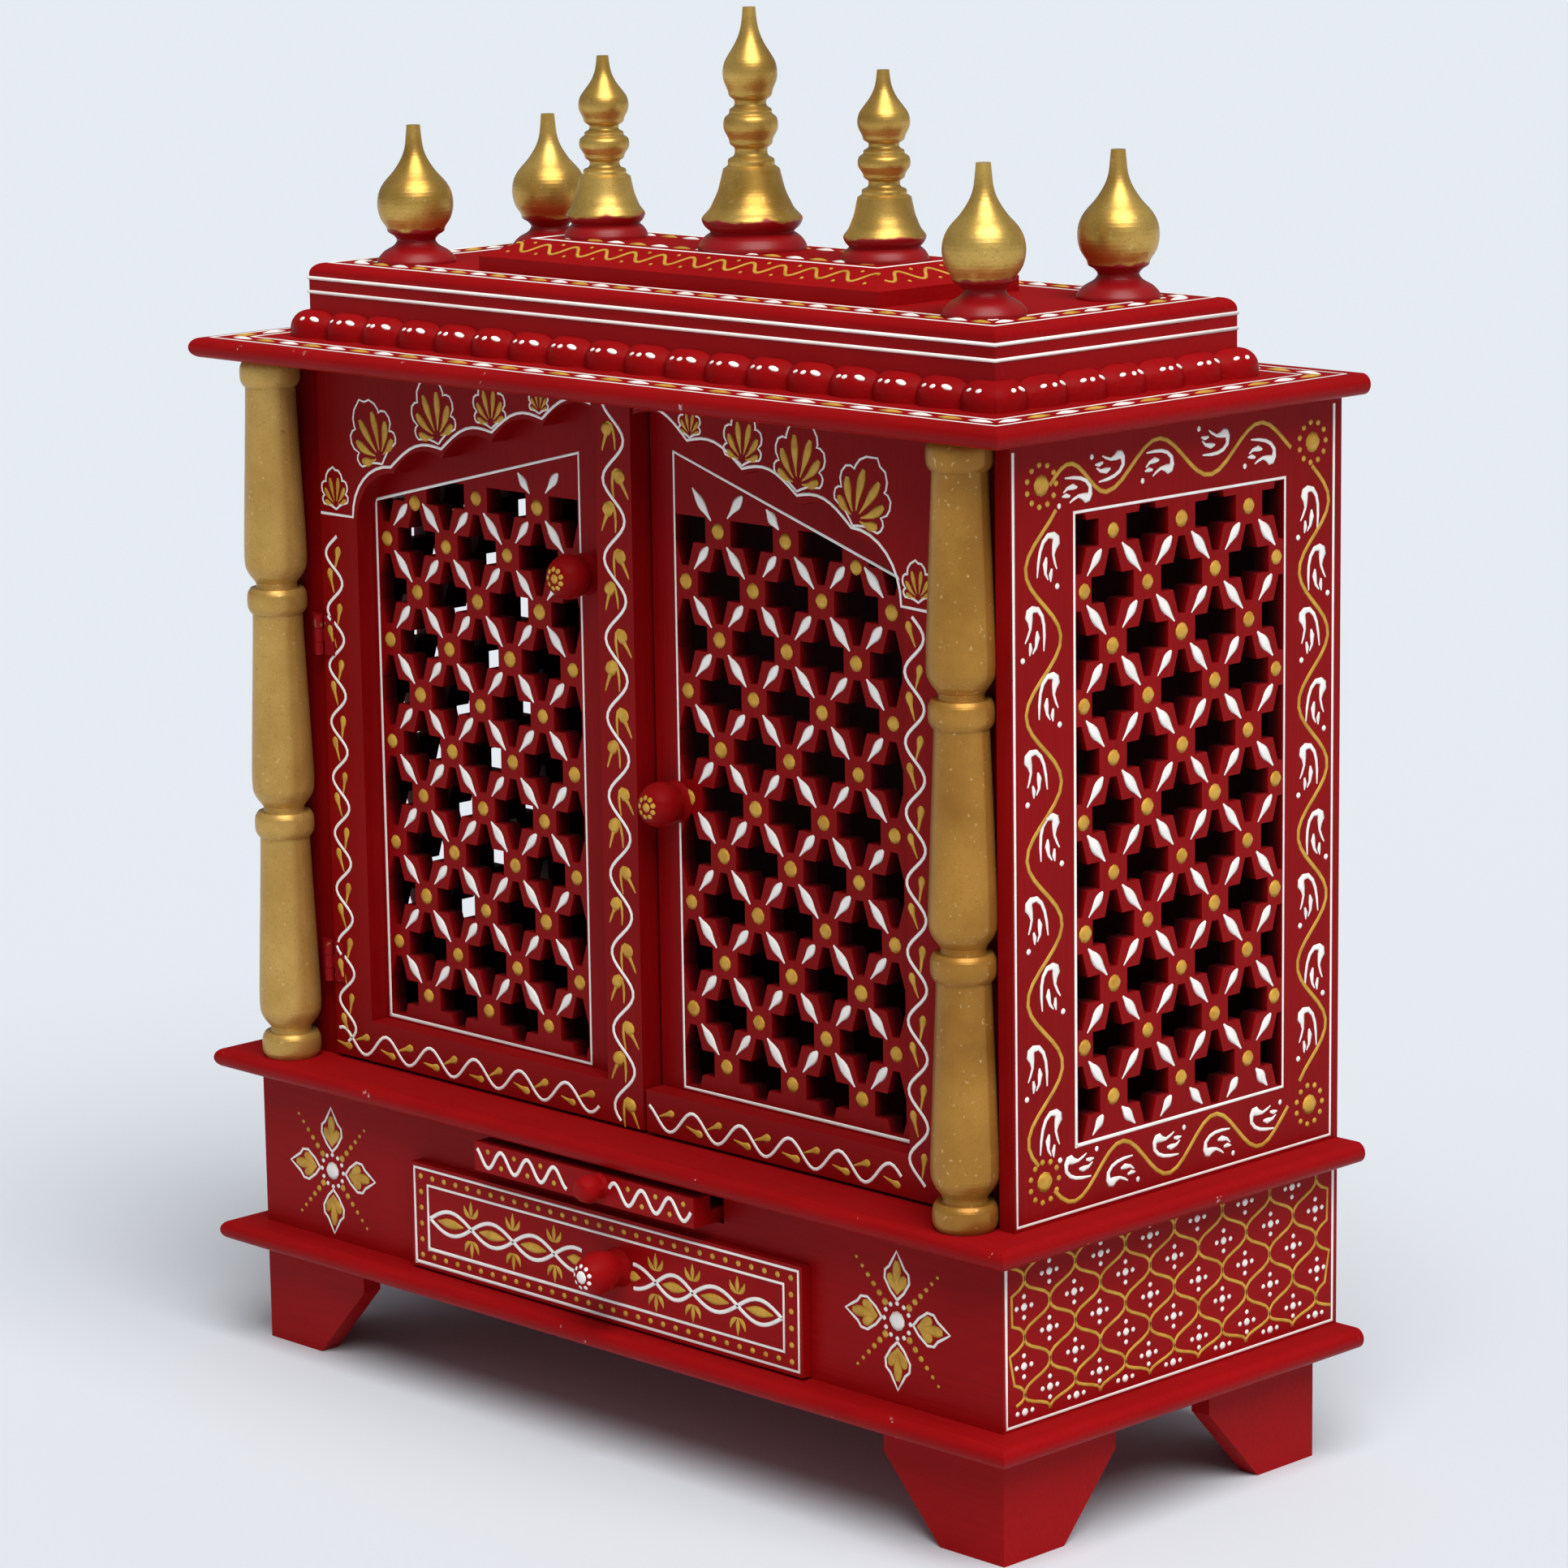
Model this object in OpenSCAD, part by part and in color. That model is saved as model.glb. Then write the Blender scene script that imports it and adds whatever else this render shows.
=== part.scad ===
// Free-standing home shrine of painted wood: four feet, a base with a drawer and a pull-out tray,
// a cabinet with two latticed doors between turned columns, and a stepped top with turned finials.
// Millimetres. X runs to the viewer's right, the doors face -Y, Z is up and the floor is Z = 0.

/* [Ledges] */
// Width of the three ledge boards
ledge_w = 610; // [570:1:680]
// Depth of the three ledge boards
ledge_d = 277; // [265:1:320]
// Thickness of a ledge board, whose front and ends are fully rounded
ledge_t = 11; // [9:0.5:14]
// How far the ledges stand out past the sides of the base and cabinet
ledge_side_lap = 19; // [12:1:24]
// How far the ledges stand out past the front of the base
ledge_front_lap = 20; // [16:1:22]

/* [Feet] */
// Height of the feet
foot_h = 58; // [40:1:80]
// Length of each leg of a foot, under the ledge
foot_len = 83; // [65:1:100]
// Length of each leg of a foot, on the floor
foot_toe = 44; // [25:1:55]
// Straight drop at the end of a leg before it slants in to the toe
foot_drop = 16; // [8:1:24]
// How far the back feet stand in from the back of the ledge
foot_back_inset = 19; // [0:1:24]

/* [Base] */
// Height of the base, between the lower and the middle ledge
base_h = 90; // [84:1:120]
// Thickness of the boards of the base and feet
board_t = 12; // [9:0.5:15]

/* [Drawer] */
// Width of the drawer opening
drawer_open_w = 288; // [240:1:320]
// Height of the drawer opening
drawer_open_h = 57; // [50:1:60]
// How far the drawer front overlaps the opening at each end
drawer_lap = 8; // [4:0.5:12]
// How far the drawer front overlaps the opening at the top
drawer_top_lap = 3.5; // [2:0.5:6]
// Gap under the drawer front
drawer_foot_gap = 1.5; // [0.5:0.1:3]
// Thickness of the drawer front
drawer_front_t = 6; // [5:0.5:9]
// Depth of the drawer box behind its front
drawer_box_d = 210; // [150:1:225]
// Height of the drawer box
drawer_box_h = 48; // [35:1:49]
// Thickness of the drawer's sides and back
drawer_wall = 8; // [6:0.5:10]
// Thickness of the drawer's floor
drawer_floor = 5; // [3:0.5:8]
// Gap at each end of the drawer box in its opening
drawer_end_gap = 2; // [1:0.25:4]
// Height of the drawer knob's axis above the lower ledge
drawer_knob_z = 33; // [24:1:40]
// Length of the drawer knob
drawer_knob_len = 26; // [20:0.5:36]
// Radius of the drawer knob's head
drawer_knob_r = 11.5; // [7:0.5:13]

/* [Tray] */
// Width of the tray slot
tray_slot_w = 178; // [140:1:200]
// Height of the tray slot under the middle ledge
tray_slot_h = 20; // [18:0.5:26]
// Gap at each end of the tray in its slot
tray_end_gap = 4; // [2:0.5:8]
// Height of the tray's front bar
tray_front_h = 16; // [12:0.5:17]
// Thickness of the tray's front bar
tray_front_t = 12; // [8:0.5:15]
// How far the tray's front stands out of the base
tray_out = 18; // [16:0.5:19.5]
// Thickness of the tray board
tray_t = 8; // [5:0.5:11]
// Depth of the tray board behind its front bar
tray_d = 190; // [140:1:215]
// Width of each strip that carries the tray
runner_w = 20; // [12:1:30]
// Thickness of each strip that carries the tray
runner_t = 10; // [6:0.5:12]
// Length of the tray knob
tray_knob_len = 15; // [10:0.5:22]
// Radius of the tray knob's head
tray_knob_r = 7.5; // [5:0.5:8]

/* [Cabinet] */
// Height of the cabinet, between the middle ledge and the cornice
cab_h = 392; // [360:1:440]
// Thickness of the pierced side boards
side_t = 10; // [8:0.5:11]
// How far the side boards stand back from the front of the ledge
side_setback = 29; // [27:0.5:32]
// Thickness of the back board
back_t = 4; // [3:0.5:6]
// Width of the posts that the doors hang on
post_w = 34.5; // [30:0.5:38]
// Thickness of the posts
post_t = 19.5; // [14:0.5:24]

/* [Columns] */
// Largest radius of a turned column
column_r = 17.3; // [15:0.1:17.4]
// Distance from the front of the ledge to the column's axis
column_setback = 21; // [20:0.5:23]
// Distance from the side of the cabinet to the column's axis
column_inset = 25.5; // [25:0.5:28]
// Radius of the rings of a column
ring_r = 16.6; // [14:0.1:17]
// Height of each ring of a column
ring_h = 14; // [10:0.5:18]
// How much each ring draws in at its two edges
ring_round = 2; // [1:0.1:3]
// Radius of the neck above each ring
column_neck_r = 11.6; // [9:0.1:13]
// Height of the widest place of a column above each ring
column_swell_z = 17; // [12:0.5:24]
// Radius of a column just under each ring
column_top_r = 13.8; // [12:0.1:15]

/* [Doors] */
// Gap above and below the doors
door_gap = 2; // [1:0.25:4]
// Gap between a door and its post
door_side_gap = 3; // [2:0.25:4]
// Gap between the two doors
door_seam = 2.5; // [2.2:0.1:4]
// Distance of the door seam from the middle of the cabinet, with the lower knobs in line under it
seam_x = 13.75; // [10:0.25:18]
// Thickness of the frame boards of a door
frame_t = 12; // [8:0.5:14]
// Thickness of the pierced board of a door
jali_t = 10; // [6:0.5:12]
// How far the face of a door stands out past its post
door_proud = 2.5; // [1:0.25:3]
// Width of a door's outer stile
stile_w = 30.5; // [24:0.5:36]
// Height of a door's bottom rail
rail_h = 23; // [18:0.5:30]
// Width of the strip that covers the seam
strip_w = 27; // [22:0.5:32]
// Height of the carved head over a stile
spandrel_h = 85; // [75:1:100]
// Height of the carved head at the seam
spandrel_seam_h = 7; // [4:0.5:12]
// Fall of the scalloped edge at each of the inner lobes
lobe_fall = 12; // [8:0.5:13]
// Rise of each inner lobe above its two cusps
lobe_rise = 7.5; // [5:0.5:10]
// Width of the outermost, quarter-round lobe
end_lobe_w = 32; // [26:0.5:40]
// Height of the left door knob above the door's lower edge
left_knob_z = 291; // [200:1:300]
// Height of the right door knob above the door's lower edge
right_knob_z = 178; // [120:1:300]
// Distance of the left door knob's axis from the seam
left_knob_x = 49.5; // [42:0.5:56]
// Distance of the right door knob's axis from the seam
right_knob_x = 15; // [14:0.5:30]
// Length of the door knobs
door_knob_len = 22; // [16:0.5:34]
// Radius of the door knobs' heads
door_knob_r = 12; // [8:0.5:13]

/* [Hinges] */
// Length of a hinge
hinge_len = 22; // [16:0.5:30]
// Radius of the hinge knuckles
knuckle_r = 2.5; // [2.2:0.1:3]
// Radius of the hinge pin
pin_r = 1; // [0.8:0.1:1.2]
// Running clearance in the hinges
hinge_clear = 0.25; // [0.2:0.05:0.4]
// Thickness of the hinge leaves
leaf_t = 1.2; // [0.8:0.1:1.5]
// Width of the hinge leaves
leaf_w = 9; // [6:0.5:10]
// Height of the lower hinge above the door's lower edge
low_hinge_z = 42; // [30:1:80]
// Height of the upper hinge above the door's lower edge
high_hinge_z = 227; // [180:1:250]

/* [Lattice] */
// Distance between crossings along a side board's row
side_pitch_y = 51.2; // [48:0.1:54]
// Distance between rows of crossings on a side board
side_pitch_z = 57.1; // [54:0.1:60]
// Distance between crossings along a door's row
door_pitch_x = 49.4; // [46:0.1:52]
// Distance between rows of crossings on a door
door_pitch_z = 56.5; // [54:0.1:60]
// Half length of the level arm of a hole
arm_x = 15.5; // [12:0.1:17]
// Half height of the level arm of a hole
arm_z = 6.8; // [5:0.1:8]
// Half width of the upright arm of a hole where it meets the level arm
stem_x = 6.5; // [5:0.1:8]
// Half width of the upright arm of a hole at its tip
stem_tip_x = 2.5; // [1.5:0.1:4]
// Half length of the upright arm of a hole
stem_z = 19.5; // [16:0.1:21]
// Distance of a side board's top row of crossings below the edge of its pierced field
side_top_row = 10.2; // [6:0.1:14]
// Distance of a door's top row of crossings below the door's upper edge
door_top_row = 65; // [60:0.1:70]
// Distance from the front edge of a side board to its pierced field
side_field_front = 46.5; // [44:0.5:49]
// Width of the pierced field of a side board
side_field_w = 156; // [140:1:165]
// Height of the pierced field of a side board
side_field_h = 315; // [290:1:325]
// Height of the pierced field's lower edge above the middle ledge, on the sides
side_field_z = 37; // [30:0.5:45]
// Distance from the seam to the left door's pierced field
left_field_x = 54.5; // [50:0.5:60]
// Distance from the seam to the right door's pierced field
right_field_x = 17.5; // [15:0.5:24]
// Width of a door's pierced field
door_field_w = 162; // [150:1:166]
// Gap between a door's pierced field and the bottom rail
door_field_foot = 4; // [2:0.5:12]
// Height of a door's pierced field at the stile
door_field_low = 287; // [260:1:290]
// Height of a door's pierced field beside the seam
door_field_high = 330; // [310:1:335]

/* [Top] */
// Radius of the beads, seen from above
bead_r = 21; // [18:0.1:24]
// How far the beads stand out past the plinth
bead_out = 11; // [8:0.5:12]
// Height of the beads over the cornice
bead_h = 14.6; // [12:0.1:18]
// Rounding of the beads' upper edge
bead_round = 10.2; // [8:0.1:10.4]
// Number of beads along the front, with the two corner beads
beads_front = 18; // [16:1:20]
// Number of beads along a side, with the two corner beads
beads_side = 7; // [6:1:8]
// Width of the plinth
plinth_w = 516; // [510:1:540]
// Depth of the plinth
plinth_d = 179; // [176:1:190]
// Height of the plinth
plinth_h = 40; // [32:1:50]
// Distance from the back of the cornice to the back of the plinth
plinth_back = 49; // [40:1:56]
// Radius of the rounded upper edge of the plinth
plinth_round = 6; // [3:0.5:9]
// Width of the upper step
step_w = 301; // [280:1:320]
// Depth of the upper step
step_d = 103; // [96:1:110]
// Distance from the back of the cornice to the back of the upper step
step_back = 95; // [85:1:105]
// Height of the upper step's upright edge
step_edge = 8; // [5:0.5:12]
// Height of the upper step's slope
step_rise = 9; // [6:0.5:14]
// How far the upper step's slope runs in
step_run = 20; // [14:0.5:24]

/* [Finials] */
// Height of the corner finials
finial_h = 75; // [60:1:90]
// Largest radius of the corner finials
finial_r = 20.8; // [17:0.1:22]
// Distance of the corner finials' axes from the plinth's ends
finial_inset = 44.5; // [30:0.5:60]
// Distance of the corner finials' axes from the plinth's front and back
finial_edge = 40; // [28:0.5:50]
// Height of the side spires
spire_h = 97; // [80:1:110]
// Radius of the side spires' feet
spire_r = 22.7; // [18:0.1:25]
// Radius of the side spires' beads
spire_bead_r = 13.5; // [10:0.1:16]
// Height of the middle spire
mid_spire_h = 126; // [110:1:140]
// Radius of the middle spire's foot
mid_spire_r = 28.7; // [22:0.1:30]
// Radius of the middle spire's bead
mid_spire_bead_r = 14.3; // [11:0.1:17]
// Distance of the middle spire from the middle of the step, to the right
mid_spire_x = 8; // [0:0.5:10]
// Distance of the side spires from the middle of the step
spire_x = 105; // [90:0.5:108]

/* [Hidden] */
$fn = 64;

// Paint colours
maroon = [0.55, 0.03, 0.05];
gold = [0.72, 0.55, 0.20];
brass = [0.66, 0.52, 0.28];

// Rest gap between a sliding piece and what it slides on
slide_gap = 0.3;
// Overlap used where one cut runs out past a face
cut = 1;

// Levels, from the floor up
base_z = foot_h + ledge_t;
mid_z = base_z + base_h;
cab_z = mid_z + ledge_t;
cornice_z = cab_z + cab_h;
top_z = cornice_z + ledge_t;
plinth_top = top_z + plinth_h;
step_top = plinth_top + step_edge + step_rise;

// Faces across the object, measured from its middle
cab_x = ledge_w / 2 - ledge_side_lap;
side_in = cab_x - side_t;
post_in = side_in - post_w;
door_out = post_in - door_side_gap;
stile_in = door_out - stile_w;
column_x = cab_x - column_inset;
left_seam = seam_x - door_seam / 2;
right_seam = seam_x + door_seam / 2;
strip_in = left_seam - strip_w;

// Faces from back to front: the back of the ledges is 0 and the front is negative
base_y = -(ledge_d - ledge_front_lap);
side_y = -(ledge_d - side_setback);
column_y = -(ledge_d - column_setback);
post_y = column_y + column_r;
door_y = post_y - door_proud;
jali_y = door_y + frame_t;
jali_back = jali_y + jali_t;
drawer_y = base_y - slide_gap;
drawer_face = drawer_y - drawer_front_t;
tray_face = base_y - tray_out;

// The whole is centred front to back on its farthest knob
front_reach = max(ledge_d, drawer_knob_len - drawer_face, tray_knob_len - tray_face);

// Doors
door_z = cab_z + door_gap;
door_h = cab_h - 2 * door_gap;
hinge_x = post_in - door_side_gap / 2;
hinge_y = door_y - knuckle_r - hinge_clear;
knuckle_len = (hinge_len - 2 * hinge_clear) / 3;

// Drawer and tray
drawer_open_top = base_z + drawer_open_h;
drawer_x = drawer_open_w / 2 - drawer_end_gap;
slot_z = mid_z - tray_slot_h;
tray_x = tray_slot_w / 2 - tray_end_gap;
tray_z = slot_z + slide_gap;

// Top
plinth_y = -plinth_back - plinth_d / 2;
step_y = -step_back - step_d / 2;
finial_x = plinth_w / 2 - finial_inset;
finial_y = plinth_d / 2 - finial_edge;

// Moves the object so that its footprint is centred on the origin
module place() {
    translate([0, front_reach / 2, 0]) children();
}

// A board between two corners
module board(x, y, z) {
    translate([x[0], y[0], z[0]]) cube([x[1] - x[0], y[1] - y[0], z[1] - z[0]]);
}

// The right-hand piece of a pair as drawn, or the left-hand one mirrored about the middle
module mirrored(side) {
    flip = side < 0 ? 1 : 0;
    mirror([flip, 0, 0]) children();
}

// Points of a smooth curve through a few points, with some steps between each two
function between(a, b, c, d, t) =
    0.5 * (2 * b + (c - a) * t + (2 * a - 5 * b + 4 * c - d) * t * t + (3 * b - a - 3 * c + d) * t * t * t);
function smooth(p, steps = 4) = [
    for (i = [0:len(p) - 2], k = [0:steps - 1])
        between(p[max(i - 1, 0)], p[i], p[i + 1], p[min(i + 2, len(p) - 1)], k / steps),
    p[len(p) - 1]
];

// Points given as shares of a radius and a height
function scaled(outline, r, h) = [for (p = outline) [p[0] * r, p[1] * h]];

// A turned piece whose outline is a list of [radius, height] points from its foot to its tip
module turned(outline) {
    last = len(outline) - 1;
    rotate_extrude() polygon(concat([[0, outline[0][1]]], outline, [[0, outline[last][1]]]));
}

// The same piece lying down, pointing to the front
module turned_forward(outline) {
    rotate([90, 0, 0]) turned(outline);
}

// Ledges: boards with a fully rounded front and ends, mitred at the corners, flat at the back

module rounded_bar(len, depth) {
    linear_extrude(len) union() {
        translate([ledge_t / 2, ledge_t / 2]) circle(d = ledge_t);
        translate([depth - ledge_t / 2, ledge_t / 2]) circle(d = ledge_t);
        translate([ledge_t / 2, 0]) square([depth - ledge_t, ledge_t]);
    }
}

module ledge(z) {
    place() translate([0, 0, z]) intersection() {
        translate([-ledge_w / 2, 0, 0]) rotate([90, 0, 0]) rounded_bar(ledge_d, ledge_w);
        translate([-ledge_w / 2, -ledge_d, 0]) rotate([90, 0, 90]) rounded_bar(ledge_w, ledge_d + ledge_t);
    }
}

module bottom_ledge() {
    color(maroon) ledge(foot_h);
}

module mid_ledge() {
    color(maroon) ledge(mid_z);
}

module cornice() {
    color(maroon) ledge(cornice_z);
}

// Feet: two boards meeting at the corner, each slanting in from the ledge to a short toe

module foot_leg() {
    linear_extrude(board_t) polygon([
        [0, 0], [foot_toe, 0], [foot_len, foot_h - foot_drop], [foot_len, foot_h], [0, foot_h]
    ]);
}

module foot(side, y, turn) {
    color(maroon) place() translate([side * cab_x, y, 0]) mirrored(side) mirror([0, turn, 0]) union() {
        translate([0, board_t, 0]) rotate([90, 0, 0]) mirror([1, 0, 0]) foot_leg();
        translate([-board_t, 0, 0]) rotate([90, 0, 90]) foot_leg();
    }
}

module foot_front_left() {
    foot(-1, base_y, 0);
}

module foot_front_right() {
    foot(1, base_y, 0);
}

module foot_back_left() {
    foot(-1, -foot_back_inset, 1);
}

module foot_back_right() {
    foot(1, -foot_back_inset, 1);
}

// Base: boards round the drawer, with a slot above it for the tray

module base_front(side) {
    color(maroon) place() mirrored(side)
        board([drawer_open_w / 2, cab_x], [base_y, base_y + board_t], [base_z, mid_z]);
}

module base_front_left() {
    base_front(-1);
}

module base_front_right() {
    base_front(1);
}

module base_front_rail() {
    color(maroon) place() difference() {
        board([-drawer_open_w / 2, drawer_open_w / 2], [base_y, base_y + board_t], [drawer_open_top, mid_z]);
        board([-tray_slot_w / 2, tray_slot_w / 2], [base_y - cut, base_y + board_t + cut],
            [slot_z, mid_z + cut]);
    }
}

module base_sides() {
    color(maroon) place() for (side = [-1, 1]) mirrored(side)
        board([cab_x - board_t, cab_x], [base_y + board_t, 0], [base_z, mid_z]);
}

module base_back() {
    color(maroon) place()
        board([board_t - cab_x, cab_x - board_t], [-board_t, 0], [base_z, mid_z]);
}

// Strips from the front rail to the back, flush with the bottom of the slot
module tray_runners() {
    color(maroon) place() for (side = [-1, 1]) mirrored(side)
        board([tray_x - runner_w, tray_x], [base_y + board_t, -board_t], [slot_z - runner_t, slot_z]);
}

// Lattice holes: a level arm with a tapering arm above and below it

module lattice_hole() {
    polygon([
        [arm_x, -arm_z], [arm_x, arm_z], [stem_x, arm_z], [stem_tip_x, stem_z],
        [-stem_tip_x, stem_z], [-stem_x, arm_z], [-arm_x, arm_z], [-arm_x, -arm_z],
        [-stem_x, -arm_z], [-stem_tip_x, -stem_z], [stem_tip_x, -stem_z], [stem_x, -arm_z]
    ]);
}

// Rows of holes half a pitch apart, every other row moved along by half a pitch, from the top row down
module lattice(columns, rows, pitch_u, pitch_v) {
    for (row = [0:rows - 1], col = [-columns:columns])
        translate([(col + (row % 2) / 2) * pitch_u, -row * pitch_v / 2]) lattice_hole();
}

// How many such rows fit, when the lowest level arms are whole
function row_count(drop, pitch_v) = floor((drop - arm_z) * 2 / pitch_v) + 1;

// Sides: boards pierced with a lattice inside a rectangular field

side_rows = row_count(side_field_h - side_top_row, side_pitch_z);

module side_panel(side) {
    field_y = side_y + side_field_front + side_field_w / 2;
    color(maroon) place() mirrored(side) translate([side_in, 0, cab_z]) rotate([90, 0, 90])
        linear_extrude(side_t) difference() {
            translate([side_y, 0]) square([-side_y - back_t, cab_h]);
            intersection() {
                translate([field_y - side_field_w / 2, side_field_z]) square([side_field_w, side_field_h]);
                translate([field_y - side_pitch_y / 2, side_field_z + side_field_h - side_top_row])
                    lattice(3, side_rows, side_pitch_y, side_pitch_z);
            }
        }
}

module left_side_panel() {
    side_panel(-1);
}

module right_side_panel() {
    side_panel(1);
}

module back_panel() {
    color(maroon) place() board([-cab_x, cab_x], [-back_t, 0], [cab_z, cornice_z]);
}

// Posts that close the front beside the doors
module front_posts() {
    color(maroon) place() for (side = [-1, 1]) mirrored(side)
        board([post_in, side_in], [post_y, post_y + post_t], [cab_z, cornice_z]);
}

// Columns: tapering turned lengths between rounded rings

function ring_outline(z) = smooth([
    [ring_r - ring_round, z], [ring_r - ring_round / 5, z + ring_h * 0.2], [ring_r, z + ring_h / 2],
    [ring_r - ring_round / 5, z + ring_h * 0.8], [ring_r - ring_round, z + ring_h]
], 3);
function length_outline(z, h) = smooth([
    [column_neck_r, z], [column_neck_r, z + column_swell_z * 0.18],
    [column_r * 0.91, z + column_swell_z * 0.53], [column_r, z + column_swell_z],
    [column_r * 0.95, z + h * 0.4], [column_top_r * 1.04, z + h * 0.85], [column_top_r, z + h]
], 3);

module column(side) {
    lengths = 3;
    h = (cab_h - (lengths + 1) * ring_h) / lengths;
    color(gold) place() translate([side * column_x, column_y, cab_z]) turned(concat(
        [for (i = [0:lengths - 1]) each concat(
            ring_outline(i * (h + ring_h)), length_outline(i * (h + ring_h) + ring_h, h))],
        ring_outline(cab_h - ring_h)
    ));
}

module left_column() {
    column(-1);
}

module right_column() {
    column(1);
}

// Doors: a pierced board behind a frame of a stile, a rail and a scalloped head

door_foot = rail_h + door_field_foot;
door_rows = row_count(door_h - door_top_row - door_foot, door_pitch_z);

// The pierced field is lower at the stile than at the seam, and its top row of holes has no upper arms
module door_field() {
    half = door_field_w / 2;
    intersection() {
        polygon([
            [-half, door_foot], [half, door_foot],
            [half, door_foot + door_field_low], [-half, door_foot + door_field_high]
        ]);
        translate([-half, 0]) square([door_field_w, door_h - door_top_row + arm_z]);
    }
}

// x is the seam edge of the board, and field its distance to the pierced field
module door_jali(side, x, field) {
    ends = side < 0 ? [-door_out, x] : [x, door_out];
    color(maroon) place() translate([0, jali_back, door_z]) rotate([90, 0, 0])
        linear_extrude(jali_t) difference() {
            translate([ends[0], 0]) square([ends[1] - ends[0], door_h]);
            translate([x + side * (field + door_field_w / 2), 0]) intersection() {
                mirrored(side) door_field();
                translate([door_pitch_x / 2, door_h - door_top_row])
                    lattice(3, door_rows, door_pitch_x, door_pitch_z);
            }
        }
}

module door_board(x, z) {
    color(maroon) place() board(x, [door_y, jali_y], z);
}

// A circle through two points that bulges by a given rise to the left of the way from one to the other
module lobe(a, b, rise) {
    chord = norm(b - a);
    r = (chord * chord / 4 + rise * rise) / (2 * rise);
    up = [a[1] - b[1], b[0] - a[0]] / chord;
    translate((a + b) / 2 - up * (r - rise)) circle(r);
}

inner_lobes = 4;

module spandrel(side, inner) {
    low = door_h - spandrel_h;
    lobe_w = (stile_in - end_lobe_w - inner) / inner_lobes;
    cusps = concat(
        [for (i = [0:inner_lobes]) [inner + i * lobe_w, door_h - spandrel_seam_h - i * lobe_fall]],
        [[stile_in, low]]
    );
    end_rise = 0.2 * norm(cusps[inner_lobes + 1] - cusps[inner_lobes]);
    color(maroon) place() translate([0, jali_y, door_z]) rotate([90, 0, 0]) linear_extrude(frame_t)
        mirrored(side) difference() {
            translate([inner, low]) square([door_out - inner, spandrel_h]);
            polygon(concat([for (c = cusps) c - [0, cut]], [[inner, low - cut]]));
            for (i = [0:inner_lobes])
                lobe(cusps[i], cusps[i + 1], i < inner_lobes ? lobe_rise : end_rise);
        }
}

// A stout turned knob: a slight waist over its foot, then a rounded head with a small end
function knob_outline(len, r) = scaled(smooth([
    [0.95, 0], [0.88, 0.1], [0.86, 0.2], [0.94, 0.34], [1, 0.5], [0.97, 0.66], [0.84, 0.82], [0.66, 0.94],
    [0.42, 1]
], 3), r, len);

module door_knob(x, z) {
    color(maroon) place() translate([x, jali_y, door_z + z])
        turned_forward(knob_outline(door_knob_len, door_knob_r));
}

module left_door_jali() {
    door_jali(-1, left_seam, left_field_x);
}

module left_door_stile() {
    door_board([-door_out, -stile_in], [door_z, door_z + door_h - spandrel_h]);
}

module left_door_rail() {
    door_board([-stile_in, strip_in], [door_z, door_z + rail_h]);
}

module left_door_spandrel() {
    spandrel(-1, -strip_in);
}

module seam_strip() {
    door_board([strip_in, left_seam], [door_z, door_z + door_h]);
}

module left_door_knob() {
    door_knob(left_seam - left_knob_x, left_knob_z);
}

module right_door_jali() {
    door_jali(1, right_seam, right_field_x);
}

module right_door_stile() {
    door_board([stile_in, door_out], [door_z, door_z + door_h - spandrel_h]);
}

module right_door_rail() {
    door_board([right_seam, stile_in], [door_z, door_z + rail_h]);
}

module right_door_spandrel() {
    spandrel(1, right_seam);
}

module right_door_knob() {
    door_knob(right_seam + right_knob_x, right_knob_z);
}

// Hinges: a pin in two fixed knuckles, with the door's knuckle between them

module hinge_places(side) {
    for (z = [low_hinge_z, high_hinge_z])
        translate([0, 0, door_z + z]) mirrored(side) children();
}

module fixed_half() {
    for (z = [0, hinge_len - knuckle_len]) {
        translate([hinge_x, hinge_y, z]) cylinder(r = knuckle_r, h = knuckle_len);
        board([hinge_x, hinge_x + knuckle_r], [hinge_y, post_y], [z, z + knuckle_len]);
    }
    translate([hinge_x, hinge_y, 0]) cylinder(r = pin_r, h = hinge_len);
    board([post_in, post_in + leaf_w], [post_y - leaf_t, post_y], [0, hinge_len]);
}

module moving_half() {
    difference() {
        union() {
            translate([hinge_x, hinge_y, knuckle_len + hinge_clear])
                cylinder(r = knuckle_r, h = knuckle_len);
            board([door_out - leaf_w, hinge_x - pin_r - hinge_clear], [door_y - leaf_t, door_y],
                [knuckle_len + hinge_clear, 2 * knuckle_len + hinge_clear]);
            board([door_out - leaf_w, hinge_x - knuckle_r - hinge_clear], [door_y - leaf_t, door_y],
                [0, hinge_len]);
        }
        translate([hinge_x, hinge_y, -cut]) cylinder(r = pin_r + hinge_clear, h = hinge_len + 2 * cut);
    }
}

module door_hinges() {
    color(brass) place() for (side = [-1, 1]) hinge_places(side) fixed_half();
}

module left_door_hinges() {
    color(brass) place() hinge_places(-1) moving_half();
}

module right_door_hinges() {
    color(brass) place() hinge_places(1) moving_half();
}

// Drawer: a box with an open top behind an overlapping front

module drawer_front() {
    color(maroon) place() board(
        [-drawer_open_w / 2 - drawer_lap, drawer_open_w / 2 + drawer_lap],
        [drawer_face, drawer_y],
        [base_z + drawer_foot_gap, drawer_open_top + drawer_top_lap]);
}

module drawer_box() {
    low = base_z + slide_gap;
    color(maroon) place() difference() {
        board([-drawer_x, drawer_x], [drawer_y, drawer_y + drawer_box_d], [low, low + drawer_box_h]);
        board([drawer_wall - drawer_x, drawer_x - drawer_wall],
            [drawer_y + drawer_wall, drawer_y + drawer_box_d - drawer_wall],
            [low + drawer_floor, low + drawer_box_h + cut]);
    }
}

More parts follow.
